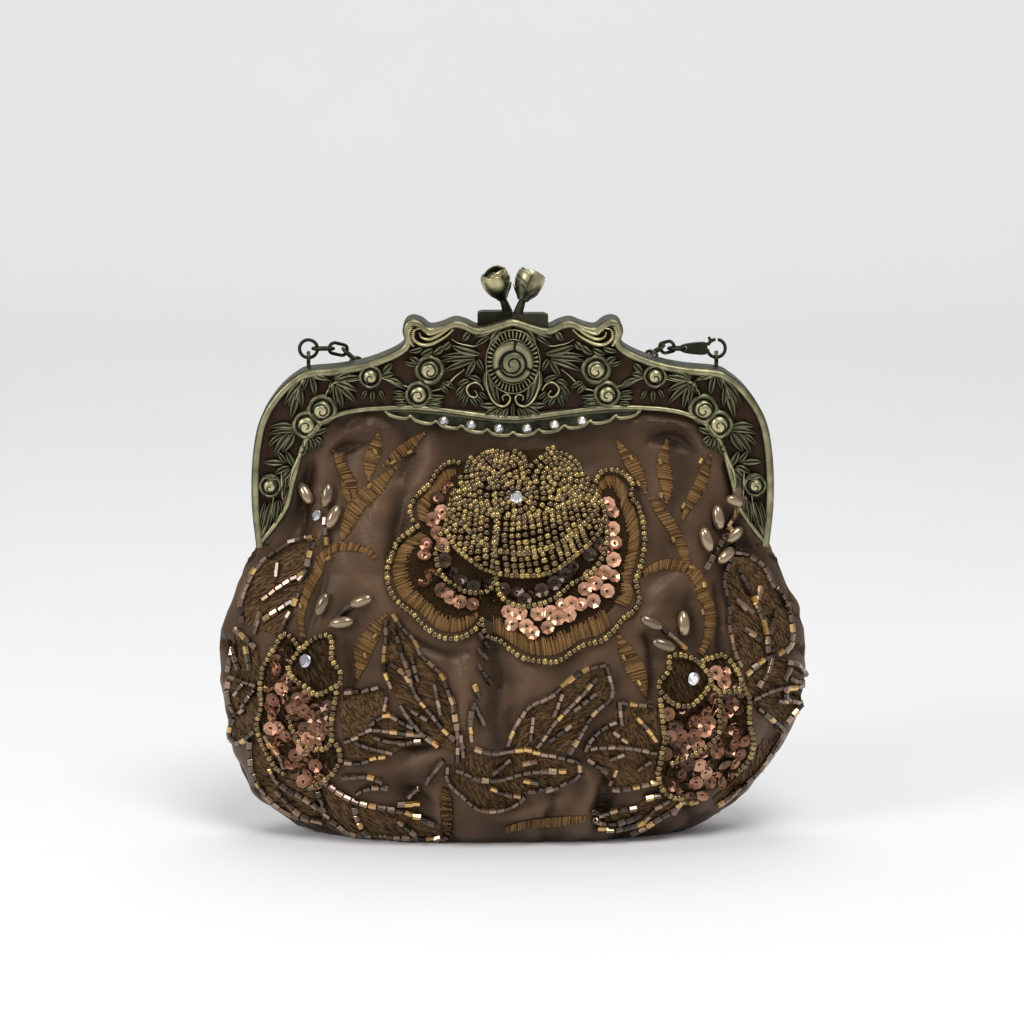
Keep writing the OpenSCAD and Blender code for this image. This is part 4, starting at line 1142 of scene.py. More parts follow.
# Strings of seed beads of the side flowers, with a 1 first where one is closed.
FLOWER_STRINGS = drawings("""
    1 302,650 311,642 320,636 331,636 333,648 333,660 341,672 340,683 329,690 318,694 306,686 295,677
    290,668 294,659; 0 301,648 294,639 284,634 277,646 270,658 265,670 263,690 264,706 260,722 264,742
    274,760 286,772; 0 337,692 335,706 333,722 333,738 326,748 312,746 301,740 294,728 290,716; 0 338,744
    342,756 336,769 325,779 312,786; 1 669,657 668,669 661,680 659,688 664,695 669,701 679,705 690,704
    700,695 706,687 709,680 701,666 690,658 679,655; 0 701,661 711,657 724,657 735,668 739,680 735,690
    724,691 716,690 710,684; 0 660,699 661,712 662,724 663,738 661,750 659,762 657,773 660,785 668,794
    679,798 692,800; 0 719,694 718,712 718,728 713,739 698,750 686,756 670,761; 0 740,683 747,698 747,712
    749,727 751,740 747,756 736,770""")
# Side flowers and bead leaves: the two edges between which the floss lies.
FLOWER_FILL = pairs("""
    284,636 267,668 264,690 262,722 266,742 275,758 288,772; 330,640 336,660 339,684 334,710 333,740
    340,758 326,776; 670,659 661,688 662,712 664,738 659,773 669,792; 730,660 742,682 750,712 753,742
    744,766 712,790""")
LEAVES = pairs("""
    245,624 242,610 244,598 249,585 255,573 262,563 272,556 285,547 300,541 317,538; 281,638 290,618
    297,604 304,590 309,575 312,560 320,543; 237,629 231,650 229,675 231,700 234,720 234,741; 258,648
    261,665 263,690 262,710 260,725 252,741; 252,740 253,758 256,776 265,790 277,802 289,810 305,816
    325,821; 267,734 275,746 283,756 290,770 303,782 315,786 322,795 328,812; 323,778 335,788 351,798
    367,803 385,807 401,810 415,814 437,822; 325,812 339,822 351,832 367,836 385,839 405,838 421,839
    443,835; 341,693 340,710 343,730 348,742; 387,688 388,705 396,722 420,736; 345,743 355,760 363,764
    380,759; 359,737 373,736 395,741 423,738; 386,620 386,640 385,662 389,682 397,700 413,720 430,738
    455,752; 394,617 404,632 417,652 433,666 443,678 452,700 457,728 462,752; 474,749 493,754 520,750
    540,753 557,756 571,760 580,764; 449,768 456,790 470,803 490,810 513,806 530,792 560,786 578,774;
    509,746 511,737 523,715 539,701 560,688 582,672 605,664; 566,752 573,745 587,722 597,709 613,696
    611,685 606,666; 618,703 612,722 595,738 586,753 598,768 612,782 614,788; 656,706 657,722 657,740
    657,752 656,762 656,772 657,780; 594,812 610,813 637,804 655,792; 600,828 625,829 650,821 680,803;
    730,558 722,580 726,600 728,625 733,651 741,668; 745,557 766,572 777,591 787,614 789,640 768,656;
    745,676 752,700 762,714 780,734; 786,656 802,671 806,690 787,718; 764,738 752,756 738,776 712,798;
    776,742 764,764 746,784 716,806""")
# Edges, midribs and veins of the bead leaves, which are sewn with tubes.
BUGLE_LINES = drawings("""
    316,538 300,541 285,546 272,556 262,563 255,573 248,586 244,598 242,610 245,624; 316,541 311,554
    309,566; 309,571 301,581; 300,593 295,606; 292,612 281,632; 307,572 282,587 264,601; 295,602 281,610
    265,620; 279,564 278,577; 262,612 255,634; 237,629 247,638 258,648; 234,649 230,672; 234,650 241,670;
    248,646 252,670; 231,678 259,685; 231,680 230,698 236,710; 245,684 236,694; 257,689 240,713; 236,718
    232,733 236,742 246,740 258,730; 252,740 253,758 256,776 265,790 277,802 289,810 305,816 325,821;
    267,734 275,746 283,757 286,767; 269,766 279,780 293,790 305,796 319,808 327,814; 277,788 285,796
    295,808 309,816; 313,800 325,812 339,822 351,832 367,836 381,839 405,837 421,840 435,839 449,834;
    323,778 335,788 351,798 367,803 385,807 401,810 415,814 437,822; 319,788 327,810; 355,804 359,820
    367,832; 397,818 415,832; 397,803 421,803; 357,793 371,786 389,788; 343,776 353,776 367,775 383,781;
    345,761 362,763 372,757 387,756; 345,692 363,691 380,686; 385,710 388,696; 369,725 381,718 387,712
    399,720 415,728; 345,741 359,736 367,730 385,730 401,732 423,734; 355,741 367,746 381,750 393,753;
    373,736 395,741 423,738; 386,618 387,636 385,656 385,668 387,676 393,688; 393,614 401,626 413,640
    419,654 433,666 443,676 449,692 455,706 458,730 458,746 458,762; 393,628 401,646 403,658 409,670
    411,680 417,696 427,708 435,718 445,730 455,740; 391,664 405,674 415,690; 412,656 419,682; 435,684
    441,714; 411,709 429,720; 401,704 413,722 427,736 439,744; 461,733 464,757; 427,782 437,766 443,758;
    407,798 415,788 421,786; 478,632 487,649; 477,648 486,660; 477,664 490,684; 473,684 479,698; 472,701
    469,719 472,741; 474,705 483,724; 474,748 493,754 507,751 520,750 529,748 539,753 553,755 571,760
    580,763 581,770 576,777 564,782 555,787 543,788 528,790; 449,765 447,776 452,785 460,792 470,802
    479,808 490,810 498,810 511,808 518,802 525,795; 456,769 466,772 475,777 486,779 507,777 520,773
    543,770 566,770; 491,773 511,758; 523,763 536,760; 523,779 538,782; 490,786 502,792 521,795; 509,746
    511,737 516,726 523,715 529,706 539,701 550,696 560,688 571,680 582,672 594,667 605,664; 606,665
    608,675 612,685 613,696 605,704 594,712 587,722 580,733 573,745 567,753; 536,747 543,738 550,728
    560,717 566,710 573,703 583,692 596,675; 562,692 553,717; 534,716 531,741; 596,692 573,711; 571,724
    548,741; 585,751 592,738 606,726 617,721; 612,730 628,742; 590,748 605,746 619,746 633,747 644,749
    656,752; 619,701 620,712 622,725; 620,702 631,704 654,707; 636,717 645,726 655,740; 609,759 624,753;
    587,758 596,765 608,770; 617,767 611,782; 651,759 644,764 635,770; 613,787 624,788 638,785 657,780;
    590,811 604,815 617,809 636,806; 592,818 600,822 613,822 628,818 640,811; 598,827 610,828 624,825
    642,820 652,809 668,799; 631,831 644,825 659,815 675,806; 644,797 660,793; 672,812 675,803 688,801
    699,799; 730,557 727,567 722,580 724,591 727,603 728,616 728,627 731,640 733,651 740,667; 733,555
    745,556 756,562 766,572 769,583 777,591 784,601 787,614 790,627 789,640 784,651 769,656 759,661
    744,675; 737,566 740,577 747,590 753,600 758,612 763,625 765,638 766,653; 734,600 751,614; 759,587
    756,600; 742,628 759,641; 774,611 768,635; 769,657 768,667 756,687; 784,662 795,664 803,674; 804,682
    792,686 782,687 769,691 751,699; 804,692 800,703 793,711 784,722; 788,667 782,680; 774,700 789,703;
    756,708 768,717 782,730 775,742 764,760 750,776 735,790 715,803; 330,627 340,615 352,605; 326,518
    327,546; 660,628 672,638 685,650; 704,570 716,548 729,526 744,504""")
# Small amber tubes on the sprigs: middle, and the way each lies.
SPRIG_BEADS = drawings("""
    375,452 3,4; 409,452 4,-2; 370,487 4,-4; 330,558 4,-3; 302,606 1,5; 631,458 2,4; 659,462 1,4; 701,459
    2,-4; 639,484 2,4; 683,507 2,-4; 690,567 4,1; 703,585 1,4; 702,612 1,5; 638,682 2,4; 623,657 2,4;
    672,540 2,4; 366,655 1,4; 376,636 3,-4; 660,496 0,4; 393,463 4,-3""")
# Golden floss: half width, a 1 where it narrows to points like a leaf, and spine.
FLOSS = drawings("""
    5.5 1 355,502 352,486 343,469 333,449; 7 1 369,481 369,466 375,450 379,431; 6.5 1 383,467 392,459
    408,447 425,433; 8.5 1 340,544 351,516 363,500 380,484 396,467; 3.5 1 351,505 346,492 342,480; 4.6 0
    377,559 367,551 351,547 335,548 323,557 318,571 310,587 304,602 301,618 303,637; 7 1 646,494 641,481
    632,464 617,441; 7 1 666,504 666,486 663,464 667,440; 6 1 682,520 691,500 701,482 711,454; 5.5 0
    686,562 681,545 672,528 662,514 652,498; 5.6 0 642,575 650,569 660,565 671,564 684,566 693,572 700,583
    703,596 708,606 710,618 709,631 705,644 700,655; 8.5 1 387,614 374,632 364,650 358,678; 8.5 1 618,634
    627,652 636,670 645,696; 4.5 0 505,829 525,824 546,822 570,820 588,818; 6 0 446,788 447,812 447,833""")
# Rice pearls: middle, and the way each points.
PEARLS = drawings("""
    310,492 7,17; 329,496 -3,20; 335,518 -9,20; 714,518 3,26; 743,503 -7,20; 704,540 8,26; 733,536 22,-19;
    722,556 19,-17; 325,605 -9,22; 363,601 25,-9; 343,623 26,-3; 650,622 25,12; 663,644 26,9; 680,624 3,25""")
# Sewn stones: middle in pixels and radius in mm. The first lies on the rose's dome.
STONES = [(518.6, 501, 2.3), (308, 661, 2.3), (691, 678, 2.2), (319.5, 517, 1.9)]


def inside(outline, spots):
    """Which places lie inside a drawn outline: a line to their right crosses it an odd number of times."""
    edge = closed_curve(outline, 6)
    a, b = edge[None], np.roll(edge, -1, 0)[None]
    x, y = spots[:, :1], spots[:, 1:]
    rise = np.where(np.abs(b[..., 1] - a[..., 1]) < 1e-9, 1e-9, b[..., 1] - a[..., 1])
    meets = (b[..., 0] - a[..., 0]) * (y - a[..., 1]) / rise + a[..., 0]
    crossed = ((a[..., 1] > y) != (b[..., 1] > y)) & (x < meets)
    return crossed.sum(1) % 2 == 1


def staggered(outline, pitch, rng):
    """Places in rows that step by half, inside a drawn outline, each moved a little."""
    (left, top), (right, low) = np.min(outline, 0), np.max(outline, 0)
    y, x = np.meshgrid(np.arange(top, low, pitch * 0.85), np.arange(left, right, pitch), indexing="ij")
    x = x + (np.arange(len(x)) % 2)[:, None] * pitch / 2
    spots = coords(x, y).reshape(-1, 2)
    spots = spots + rng.normal(0, 0.12 * pitch, spots.shape)
    return spots[inside(outline, spots)]


def dome_lift(places):
    """Height of the padding under the rose: an ellipse's dome, sqrt(1 - x^2 - z^2)^0.8 high. As
    the camera looks down, the dome's middle lies 3.2 mm over the height its pixels give."""
    wide, tall = (reach / PX_PER_MM for reach in DOME_REACH)
    x = (places[:, 0] - (DOME[0] - PIXELS / 2) / PX_PER_MM - Camera.aim[0]) / wide
    z = (places[:, 2] - Camera.aim[2] - 3.2 - (PIXELS / 2 - DOME[1]) / PX_PER_MM) / tall
    return DOME_RISE * np.sqrt(np.maximum(1 - x ** 2 - z ** 2, 0)) ** 0.8


def rose_beads(ground):
    """The dense dome of seed beads: rings in its petals and columns between their rims, with a
    string along each rim. Then the strings of the petals round it."""
    sewn = Beadwork(ground, 3)
    for centre, *outline in DOME_PETALS:
        sewn.rings(outline, centre)
    for top, low in zip(DOME_RIMS[:-1], DOME_RIMS[1:]):
        top, low = (spaced(curve(q, 10), 1.0) for q in (top, low))
        share = np.linspace(0.02, 0.98, 24)
        for first, last in zip(along_line(top, share), along_line(low, share)):
            sewn.seeds([first, last], dome_lift)
    for line in DOME_RIMS[1:]:
        sewn.seeds(line, lambda places: dome_lift(places) + 0.5)
    edge = Beadwork(ground, 13)
    for line in ROSE_STRINGS:
        edge.seeds(line, 0.15)
    return sewn.work, edge.work


def rose_pad(ground):
    """Dark padding of floss under the dome and the cups, in rings from its edge to its middle."""
    edge = spaced(closed_curve(ROSE_PAD, 8), 6.0)[:-1]
    r = np.linspace(1, 0, 16)[:, None, None]
    pixels = np.array(DOME) * (1 - r) + edge * r
    places, out = ground.land(pixels.reshape(-1, 2))
    rise = 0.15 + np.maximum(dome_lift(places) - 0.35, 0)
    work = Work()
    work.sheet((places + out * rise[:, None]).reshape(*pixels.shape[:2], 3), 0.08, wrap=True, turn=True)
    return work


def cups(ground):
    """All cup sequins, flatter on the rose's right, with painted light there and painted shade on its left,
    and the beads that hold them.
    """
    sewn, held = Beadwork(ground, 5), Beadwork(ground, 6)
    right = COPPER_CUPS[:, 0] > 500
    # Painted light and shade: the copper cups on the rose's right take bright marks, and those on its left
    # take darker ones.
    for spots, tones, tilt in ((COPPER_CUPS[~right], (0.2, 0.9), 0.3),
                               (COPPER_CUPS[right], (0.7, 1.0), 0.14),
                               (DARK_CUPS, (0.0, 0.12), 0.3),
                               (staggered(LEFT_CUPS, 11.0, sewn.rng), (0.1, 0.85), 0.42),
                               (staggered(RIGHT_CUPS, 11.5, sewn.rng), (0.12, 0.85), 0.34)):
        places, out = sewn.sequins(spots, tones, tilt)
        along = held.rng.normal(0, 1, places.shape)
        held.put(seed_shape(HOLDING_SEED_R), places, along, out, 0.1, held.marks(len(places), 0.0, 0.1))
    return sewn.work, held.work


def floss_fill(ground):
    """Short stitches under the bead leaves and flowers, and the padded edge of the rose."""
    work, gold, rng = Work(), Work(), np.random.default_rng(11)
    for left, right in LEAVES:
        leaf_stitches(work, ground, left, right, rng, (0.15, 0.95))
    for left, right in FLOWER_FILL:
        leaf_stitches(work, ground, left, right, rng, (0.0, 0.35), gap=2.2, stride=5.5, reach=8.0)
    for (outer, inner), share in zip(ROSE_FLOSS, (0.6, 0.6, 0.85, 0.6)):
        a, b = (spaced(curve(q, 10), 1.0) for q in (outer, inner))
        n = np.linspace(0, 1, 40)
        a, b = along_line(a, n), along_line(b, n)
        stitch(gold, ground, a[::2], (a + share * (b - a))[::2], 0.36, rng, 0.9, 0.62, (0.2, 1.0), 0.2)
    return work, gold


def floss_sprigs(ground):
    """Golden sprigs and curls of floss, stitched across."""
    work, rng = Work(), np.random.default_rng(12)
    for half, is_leaf, spine in FLOSS:
        line = spaced(curve(spine, 12), 1.0)
        t = np.linspace(0, 1, len(line))
        wide = half * (np.sin(math.pi * np.clip(t, 0.06, 0.94)) ** (0.8 if is_leaf else 0.3))
        side = rightwards(line) * wide[:, None]
        slant = directions(line) * wide[:, None] * 0.35
        stitch(work, ground, line + side + slant, line - side - slant, 0.38, rng, 0.8, 0.6, (0.15, 1.0),
               0.12)
    return work


def leaf_bugles(ground):
    """Cut tubes round the bead leaves, along their midribs and veins, and on the sprigs."""
    sewn = Beadwork(ground, 7)
    for line in BUGLE_LINES:
        sewn.bugles(line, 0.35)
    for middle, way in SPRIG_BEADS:
        sewn.single(bugle_shape(*SPRIG_TUBE), middle, way, 1.35, 0.9)
    return sewn.work


def flower_beads(ground):
    """Strings of seed beads that outline the two side flowers."""
    sewn = Beadwork(ground, 8)
    for closed, line in FLOWER_STRINGS:
        sewn.seeds(line, 0.4, FLOWER_SEED_R, closed)
    return sewn.work


def rice_pearls(ground):
    """Rice pearls in sprays beside the rose."""
    sewn = Beadwork(ground, 9)
    for middle, way in PEARLS:
        sewn.single(pearl_shape(*RICE_PEARL), middle, way / np.linalg.norm(way) * 4, 2.0, 0.0)
    return sewn.work


def sewn_stones(ground):
    """Cut stones in the middles of the flowers, the first on the rose's padding."""
    sewn = Beadwork(ground, 10)
    for x, y, radius in STONES:
        place, out = ground.land([(x, y)])
        lift = 1.1 + (dome_lift(place)[0] if y == STONES[0][1] else 0.6)
        sewn.put(stone_shape(radius), place, np.array([[1.0, 0.2, 0.1]]), out, lift)
    return sewn.work


# Pieces.
# The front rosebud's foot, its lean about x and y, where it starts on its stem, and its size.
BUD_FOOT = np.array([1.696, -3.75, 182.5])
BUD_LEAN = (math.radians(-13.27), math.radians(20.0))
BUD_START = 5.09
BUD_H = 11.0
BUD_R = 5.2


def jewels():
    """Six faceted stones in rolled settings on the front apron."""
    stones, settings = Work(), Work()
    x = np.array([-0.54, -0.325, -0.11, 0.11, 0.325, 0.54]) * APRON_W / 2
    z = (apron_edge(x) + rail_height(x)) / 2 - 0.2
    places = on_face(coords(x, z), 0)
    out = np.tile([0.0, -1.0, 0.0], (6, 1))
    along = np.tile([1.0, 0.0, 0.15], (6, 1))
    set_out(stones, stone_shape(1.25), places + out * 0.75, along, out, np.linspace(0, 1, 6))
    ring = np.array([(1.15, 0.2), (1.75, 0.0), (1.8, 0.5), (1.55, 0.95), (1.2, 0.85), (1.1, 0.3)])
    shape, faces = turned(ring - (0, 0.3), 20)
    set_out(settings, (shape, np.roll(faces[:, ::-1], 1, axis=1)), places, along, out, np.full(6, 0.7))
    return stones, settings


def rosebud(turn):
    """A rosebud on a small calyx. Six petals wrap a solid core: each runs from the foot to a
    curled lip, its radius the bud's belly plus a step that grows with its turn."""
    work = Work()
    belly = np.array([(0, 0.3), (0.1, 0.42), (0.24, 0.68), (0.4, 0.9), (0.58, 1.0), (0.76, 1.0),
                      (0.9, 0.95), (1, 0.86)])

    def wide_at(h):
        return np.interp(h, belly[:, 0], belly[:, 1]) * BUD_R

    t = np.linspace(0, 1, 26)[:, None]
    a = np.linspace(0, 2 * math.pi, 60, endpoint=False)[None, :]
    r = wide_at(t * 0.9) * 0.9 * np.sqrt(np.maximum(1 - ease((t - 0.76) / 0.24), 0))
    swirl = 0.07 * np.sin(2 * a + 9 * t + turn)
    core = round_axis(r * (1 + swirl), a, t * BUD_H * 0.92)
    core[0], core[-1] = core[0].mean(0), core[-1].mean(0)
    work.sheet(core, 0.1 + 0.5 * t, wrap=True)
    t, s = np.linspace(0, 1, 24)[:, None], np.linspace(-1, 1, 25)[None, :]
    for top, middle, wide, reach in ((0.98, 0.0, 1.25, 0.86), (1.0, 2.3, 1.2, 0.88), (0.95, 4.4, 1.2, 0.9),
                                     (0.92, 1.1, 1.1, 0.95), (0.88, 3.3, 1.15, 0.97), (0.9, 5.3, 1.1, 0.99)):
        h = t * top * (1 - 0.1 * np.abs(s) ** 2.5)
        far = wide_at(h) * reach * 0.98
        angle = turn + middle + wide * s * (0.45 + 0.55 * np.sin(math.pi * (0.1 + 0.62 * t)))
        near = np.maximum(far - 0.5 - 0.3 * (1 - np.abs(s) ** 4), 0.1)
        outer = round_axis(far, angle, h * BUD_H)
        inner = round_axis(near, angle, h * BUD_H - 0.15 * t)
        tone = (0.3 + 0.55 * ease((t - 0.25) / 0.5)) * (1 - 0.9 * s ** 8)
        work.sheet(np.concatenate([outer, inner[::-1]]), np.concatenate([tone, 0.3 * tone[::-1]]))
        for side in (0, -1):
            work.sheet(np.stack([outer[:, side], inner[:, side]]), 0.4, turn=side == 0)
    t, s = np.linspace(0, 1, 12)[:, None], np.linspace(-1, 1, 9)[None, :]
    for i in range(5):
        wide = 0.62 * np.sin(math.pi * (0.25 + 0.75 * t)) ** 0.8
        far = wide_at(t * 0.4) + 0.3 * (1 - s ** 2) + 0.06
        angle = turn + i * 2 * math.pi / 5 + wide * s
        leaf = round_axis(far, angle, (t * 0.4 - 0.01) * BUD_H)
        work.sheet(leaf, 0.1 + 0.45 * (1 - np.abs(s)), turn=True)
    ax, ay = BUD_LEAN
    rx = np.array([[1, 0, 0], [0, math.cos(ax), -math.sin(ax)], [0, math.sin(ax), math.cos(ax)]])
    ry = np.array([[math.cos(ay), 0, math.sin(ay)], [0, 1, 0], [-math.sin(ay), 0, math.cos(ay)]])
    work.points = [BUD_FOOT + (points + (0, 0, BUD_START)) @ (ry @ rx).T for points in work.points]
    return work


def satin_backing():
    """Satin stretched behind the openwork, 0.45 mm thick, from the window's line to inside the rim."""
    window = spaced(curve(both_sides(WINDOW), 4), 1.0)
    outer = moved_in(spaced(curve(both_sides(OUTER), 4), 1.0), 1.7)
    share = np.linspace(0, 1, 260)
    low, high = (along_line(line, share) for line in (moved_in(window, -1.0), outer))
    t = np.linspace(0, 1, 26)[:, None, None]
    x, z = np.moveaxis(low * (1 - t) + high * t, -1, 0)
    front = coords(x, -(TUCK_Y + 0.12 * np.sin(x / 2.1 + np.sin(z / 5))), HINGE_Z + z)
    sheet = np.concatenate([front, front[::-1] + (0, 0.45, 0), front[:1]])
    work = Work()
    work.sheet(sheet, 0.4, sheet[..., [0, 2]])
    return work


def lining_surface(grid):
    """The lining: every second point of the creased cloth, moved inwards along its normal, which
    is first averaged with its neighbours', and faced towards the hollow."""
    grid = grid[::2, ::2]
    way = grid_normals(grid)
    for _ in range(8):
        way[1:-1, 1:-1] = (way[1:-1, 1:-1] + way[:-2, 1:-1] + way[2:, 1:-1]
                           + way[1:-1, :-2] + way[1:-1, 2:]) / 5
    grid = grid - way / np.linalg.norm(way, axis=-1, keepdims=True) * LINING_IN
    grid[..., 1] = np.minimum(grid[..., 1], -0.05)
    grid[..., 2] = np.maximum(grid[..., 2], 1.2)
    work = Work()
    work.sheet(grid, 0.5, grid[..., [0, 2]], turn=True)
    return work


def slip_pocket():
    """A flat pocket on the back lining, with a bulge of 1.2 mm, side seams and a hem along its mouth."""
    t = np.linspace(0, 1, 40)[:, None]
    s = np.linspace(-1, 1, 90)[None, :]
    x, z = np.broadcast_arrays(POCKET_HALF_W * s, POUCH_H * 0.42 + POCKET_H * t)
    seam = np.sqrt(np.maximum(1 - np.abs(s) ** 12, 0)) * np.sqrt(np.maximum(1 - (1 - t) ** 14, 0))
    hem = 0.45 * np.exp(-((t - 0.93) / 0.05) ** 6) - 0.25 * np.exp(-((t - 0.86) / 0.01) ** 2)
    bulge = 1.2 * (1 - s ** 2) * np.sin(math.pi * np.clip(0.15 + 0.6 * t, 0, 1))
    pucker = 0.12 * np.sin(x / 1.7) * np.exp(-((t - 0.86) / 0.08) ** 2)
    depth = cloth_depth(x, z) - 2.5
    near = coords(x + hang(z), depth - seam * (0.5 + bulge + hem + pucker), z)
    far = coords(x + hang(z), depth - 0.2 * seam * bulge, z)
    far[-1] = near[-1] + (0, 0.3, 0)
    sheet = np.concatenate([near, far[::-1], near[:1]])
    work = Work()
    work.sheet(sheet, 0.5, sheet[..., [0, 2]])
    return work


def palette():
    """The materials, made once from the panel's colours."""
    c = bpy.context.scene.clutch_colours
    return {
        "front_brass": brass_finish("front_brass", c.brass_high, c.brass_mid, c.brass_low, True),
        "plain_brass": brass_finish("plain_brass", c.brass_high, c.brass_mid, c.brass_low, False),
        "dark_brass": brass_finish("dark_brass", c.brass_mid, [0.5 * v for v in c.brass_mid], c.brass_low,
                                   False),
        "satin": cloth_finish("satin", c.satin, (0.8, 0.59, 0.42), 0.38, 0.38),
        "backing": cloth_finish("backing", c.backing, (0.7, 0.45, 0.35), 0.5, 0.25),
        "lining": cloth_finish("lining", c.lining, (0.6, 0.5, 0.44), 0.6, 0.3),
        "seed_glass": glass_bead_finish("seed_glass", [(0.06, 0.034, 0.013), (0.15, 0.095, 0.031),
                                                       (0.4, 0.275, 0.09)], 0.72, 0.1),
        "bugle_glass": glass_bead_finish("bugle_glass", [(0.04, 0.025, 0.017), (0.12, 0.078, 0.052),
                                                         (0.18, 0.12, 0.09), (0.36, 0.24, 0.16),
                                                         (0.65, 0.4, 0.14)], 0.85, 0.1),
        "cup_copper": glass_bead_finish("cup_copper", [(0.03, 0.016, 0.009), (0.24, 0.105, 0.055),
                                                       (0.7, 0.37, 0.23)], 0.8, 0.22, 0.4),
        "pearl": glass_bead_finish("pearl", [(0.2, 0.14, 0.085), (0.38, 0.28, 0.17)], 0.7, 0.2),
        "floss_dark": thread_finish("floss_dark", (0.014, 0.008, 0.004), (0.17, 0.1, 0.048)),
        "floss_gold": thread_finish("floss_gold", (0.018, 0.009, 0.004), (0.27, 0.15, 0.06)),
        "stone": glass_bead_finish("stone", [(0.55, 0.55, 0.6), (0.95, 0.95, 0.98)], 0.85, 0.04),
    }


class Shared:
    """Things that several pieces use while the scene is built."""

    finishes = {}
    ground = None


def finish_of(name):
    if not Shared.finishes:
        Shared.finishes = palette()
    return Shared.finishes[name]


def piece(work, name, finish, body, slot, *nodes, smooth=True):
    """Makes a piece that rides a body and stands for nodes of the CAD model. Without a body its
    points are baked in place."""
    obj = work.mesh(name, finish_of(finish), smooth)
    if body:
        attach(obj, body)
    else:
        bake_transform(obj)
    if nodes:
        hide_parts(*nodes)
    return obj


def cast(work, name, body, *nodes):
    """Makes a piece of the castings."""
    piece(work, name, "front_brass", body, "front_brass" if body == "front_half" else "back_brass", *nodes)


def colour(name, description, default):
    """One colour of the panel."""
    return bpy.props.FloatVectorProperty(name=name, description=description, default=default,
                                         subtype="COLOR", min=0, max=1)


class ClutchColours(bpy.types.PropertyGroup):
    """Colours of the clutch and its floor."""
    brass_high: colour("Brass highlight", "Rubbed high parts of the casting", (0.56, 0.5, 0.29))
    brass_mid: colour("Brass", "Plain parts of the casting", (0.135, 0.13, 0.078))
    brass_low: colour("Brass hollows", "Dark patina in the hollows", (0.016, 0.017, 0.012))
    satin: colour("Satin", "Colour of the pouch", (0.071, 0.0415, 0.0255))
    backing: colour("Backing", "Satin behind the openwork", (0.06, 0.034, 0.022))
    lining: colour("Lining", "Cloth inside the pouch", (0.15, 0.095, 0.065))
    floor: colour("Floor", "Colour of the paper floor", (0.92, 0.92, 0.925))


class ClutchSizes(bpy.types.PropertyGroup):
    """How deep the satin creases, how fine its grid is, and how bright the main lamp."""
    crease_depth: bpy.props.FloatProperty(
        name="Crease depth", description="How far the satin creases in and out",
        default=0.00125, min=0, max=0.002, subtype="DISTANCE", unit="LENGTH")
    key_power: bpy.props.FloatProperty(
        name="Key lamp", description="Power of the large lamp above",
        default=16.8, min=0, max=100, unit="POWER")
    cols: bpy.props.IntProperty(
        name="Cloth columns", description="Columns of the satin's grid",
        default=300, min=60, max=400)


class CLUTCH_OT_castings(bpy.types.Operator):
    """Adds the cast ornament, the rounded bands, the stones and the rosebuds to both halves"""
    bl_idname = "clutch.castings"
    bl_label = "Cast frame"

    def execute(self, context):
        ornament = frame_ornament(CAST_RISE)
        cast(ornament, "front_ornament", "front_half", "front_openwork")
        cast(ornament.mirrored(1), "back_ornament", "back_half", "back_openwork")
        bands = frame_bands()
        cast(bands, "front_bands", "front_half")
        cast(bands.mirrored(1), "back_bands", "back_half")
        stones, settings = jewels()
        for side, body, node in ((stones, "front_half", "front_stones"),
                                 (stones.mirrored(1), "back_half", "back_stones")):
            piece(side, node + "_cut", "stone", body, "stone", node, smooth=False)
        cast(settings, "front_settings", "front_half")
        cast(settings.mirrored(1), "back_settings", "back_half")
        cast(rosebud(0.4), "front_rosebud", "front_half", "front_rosebud_knob")
        cast(rosebud(2.1).mirrored(0).mirrored(1), "back_rosebud", "back_half", "back_rosebud_knob")
        return {"FINISHED"}


BRIGHT_METAL = ("front_frame", "back_frame", "left_hinge_rivet", "right_hinge_rivet")
DARK_METAL = ("front_knob_arm", "back_knob_arm", "left_jump_ring", "clasp_tail_ring", "strap_chain",
              "clasp_body", "clasp_gate", "clasp_pin")


class CLUTCH_OT_plain_metal(bpy.types.Operator):
    """Gives the plain castings, the chain and the clasp their aged brass"""
    bl_idname = "clutch.plain_metal"
    bl_label = "Plain metal"

    def execute(self, context):
        for nodes, finish in ((BRIGHT_METAL, "plain_brass"), (DARK_METAL, "dark_brass")):
            for node in nodes:
                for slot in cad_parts[node].material_slots:
                    slot.material = finish_of(finish)
        return {"FINISHED"}


class CLUTCH_OT_satin(bpy.types.Operator):
    """Makes the creased satin of the pouch, its back, its lining and the satin behind the openwork"""
    bl_idname = "clutch.satin"
    bl_label = "Satin pouch"

    def execute(self, context):
        sizes = context.scene.clutch_sizes
        depth = sizes.crease_depth / MM
        front, front_grid = pouch_work(4, sizes.cols, depth, drawn=True)
        pouch = piece(front, "pouch_front", "satin", None, "satin", "pouch_body", "front_panel")
        rear, rear_grid = pouch_work(9, sizes.cols, depth, drawn=False)
        back = piece(rear.mirrored(1), "pouch_back", "satin", "back_half", "satin", "back_panel")
        piece(lining_surface(front_grid), "lining_front", "lining", None, "lining", "pouch_lining")
        piece(lining_surface(rear_grid).mirrored(1), "lining_back", "lining", "back_half", "lining")
        piece(slip_pocket(), "slip_pocket", "lining", "back_half", "lining", "lining_pocket")
        backing = satin_backing()
        piece(backing, "front_backing", "backing", "front_half", "satin")
        piece(backing.mirrored(1), "back_backing", "backing", "back_half", "satin")
        Shared.ground = Ground(front_grid)
        return {"FINISHED"}


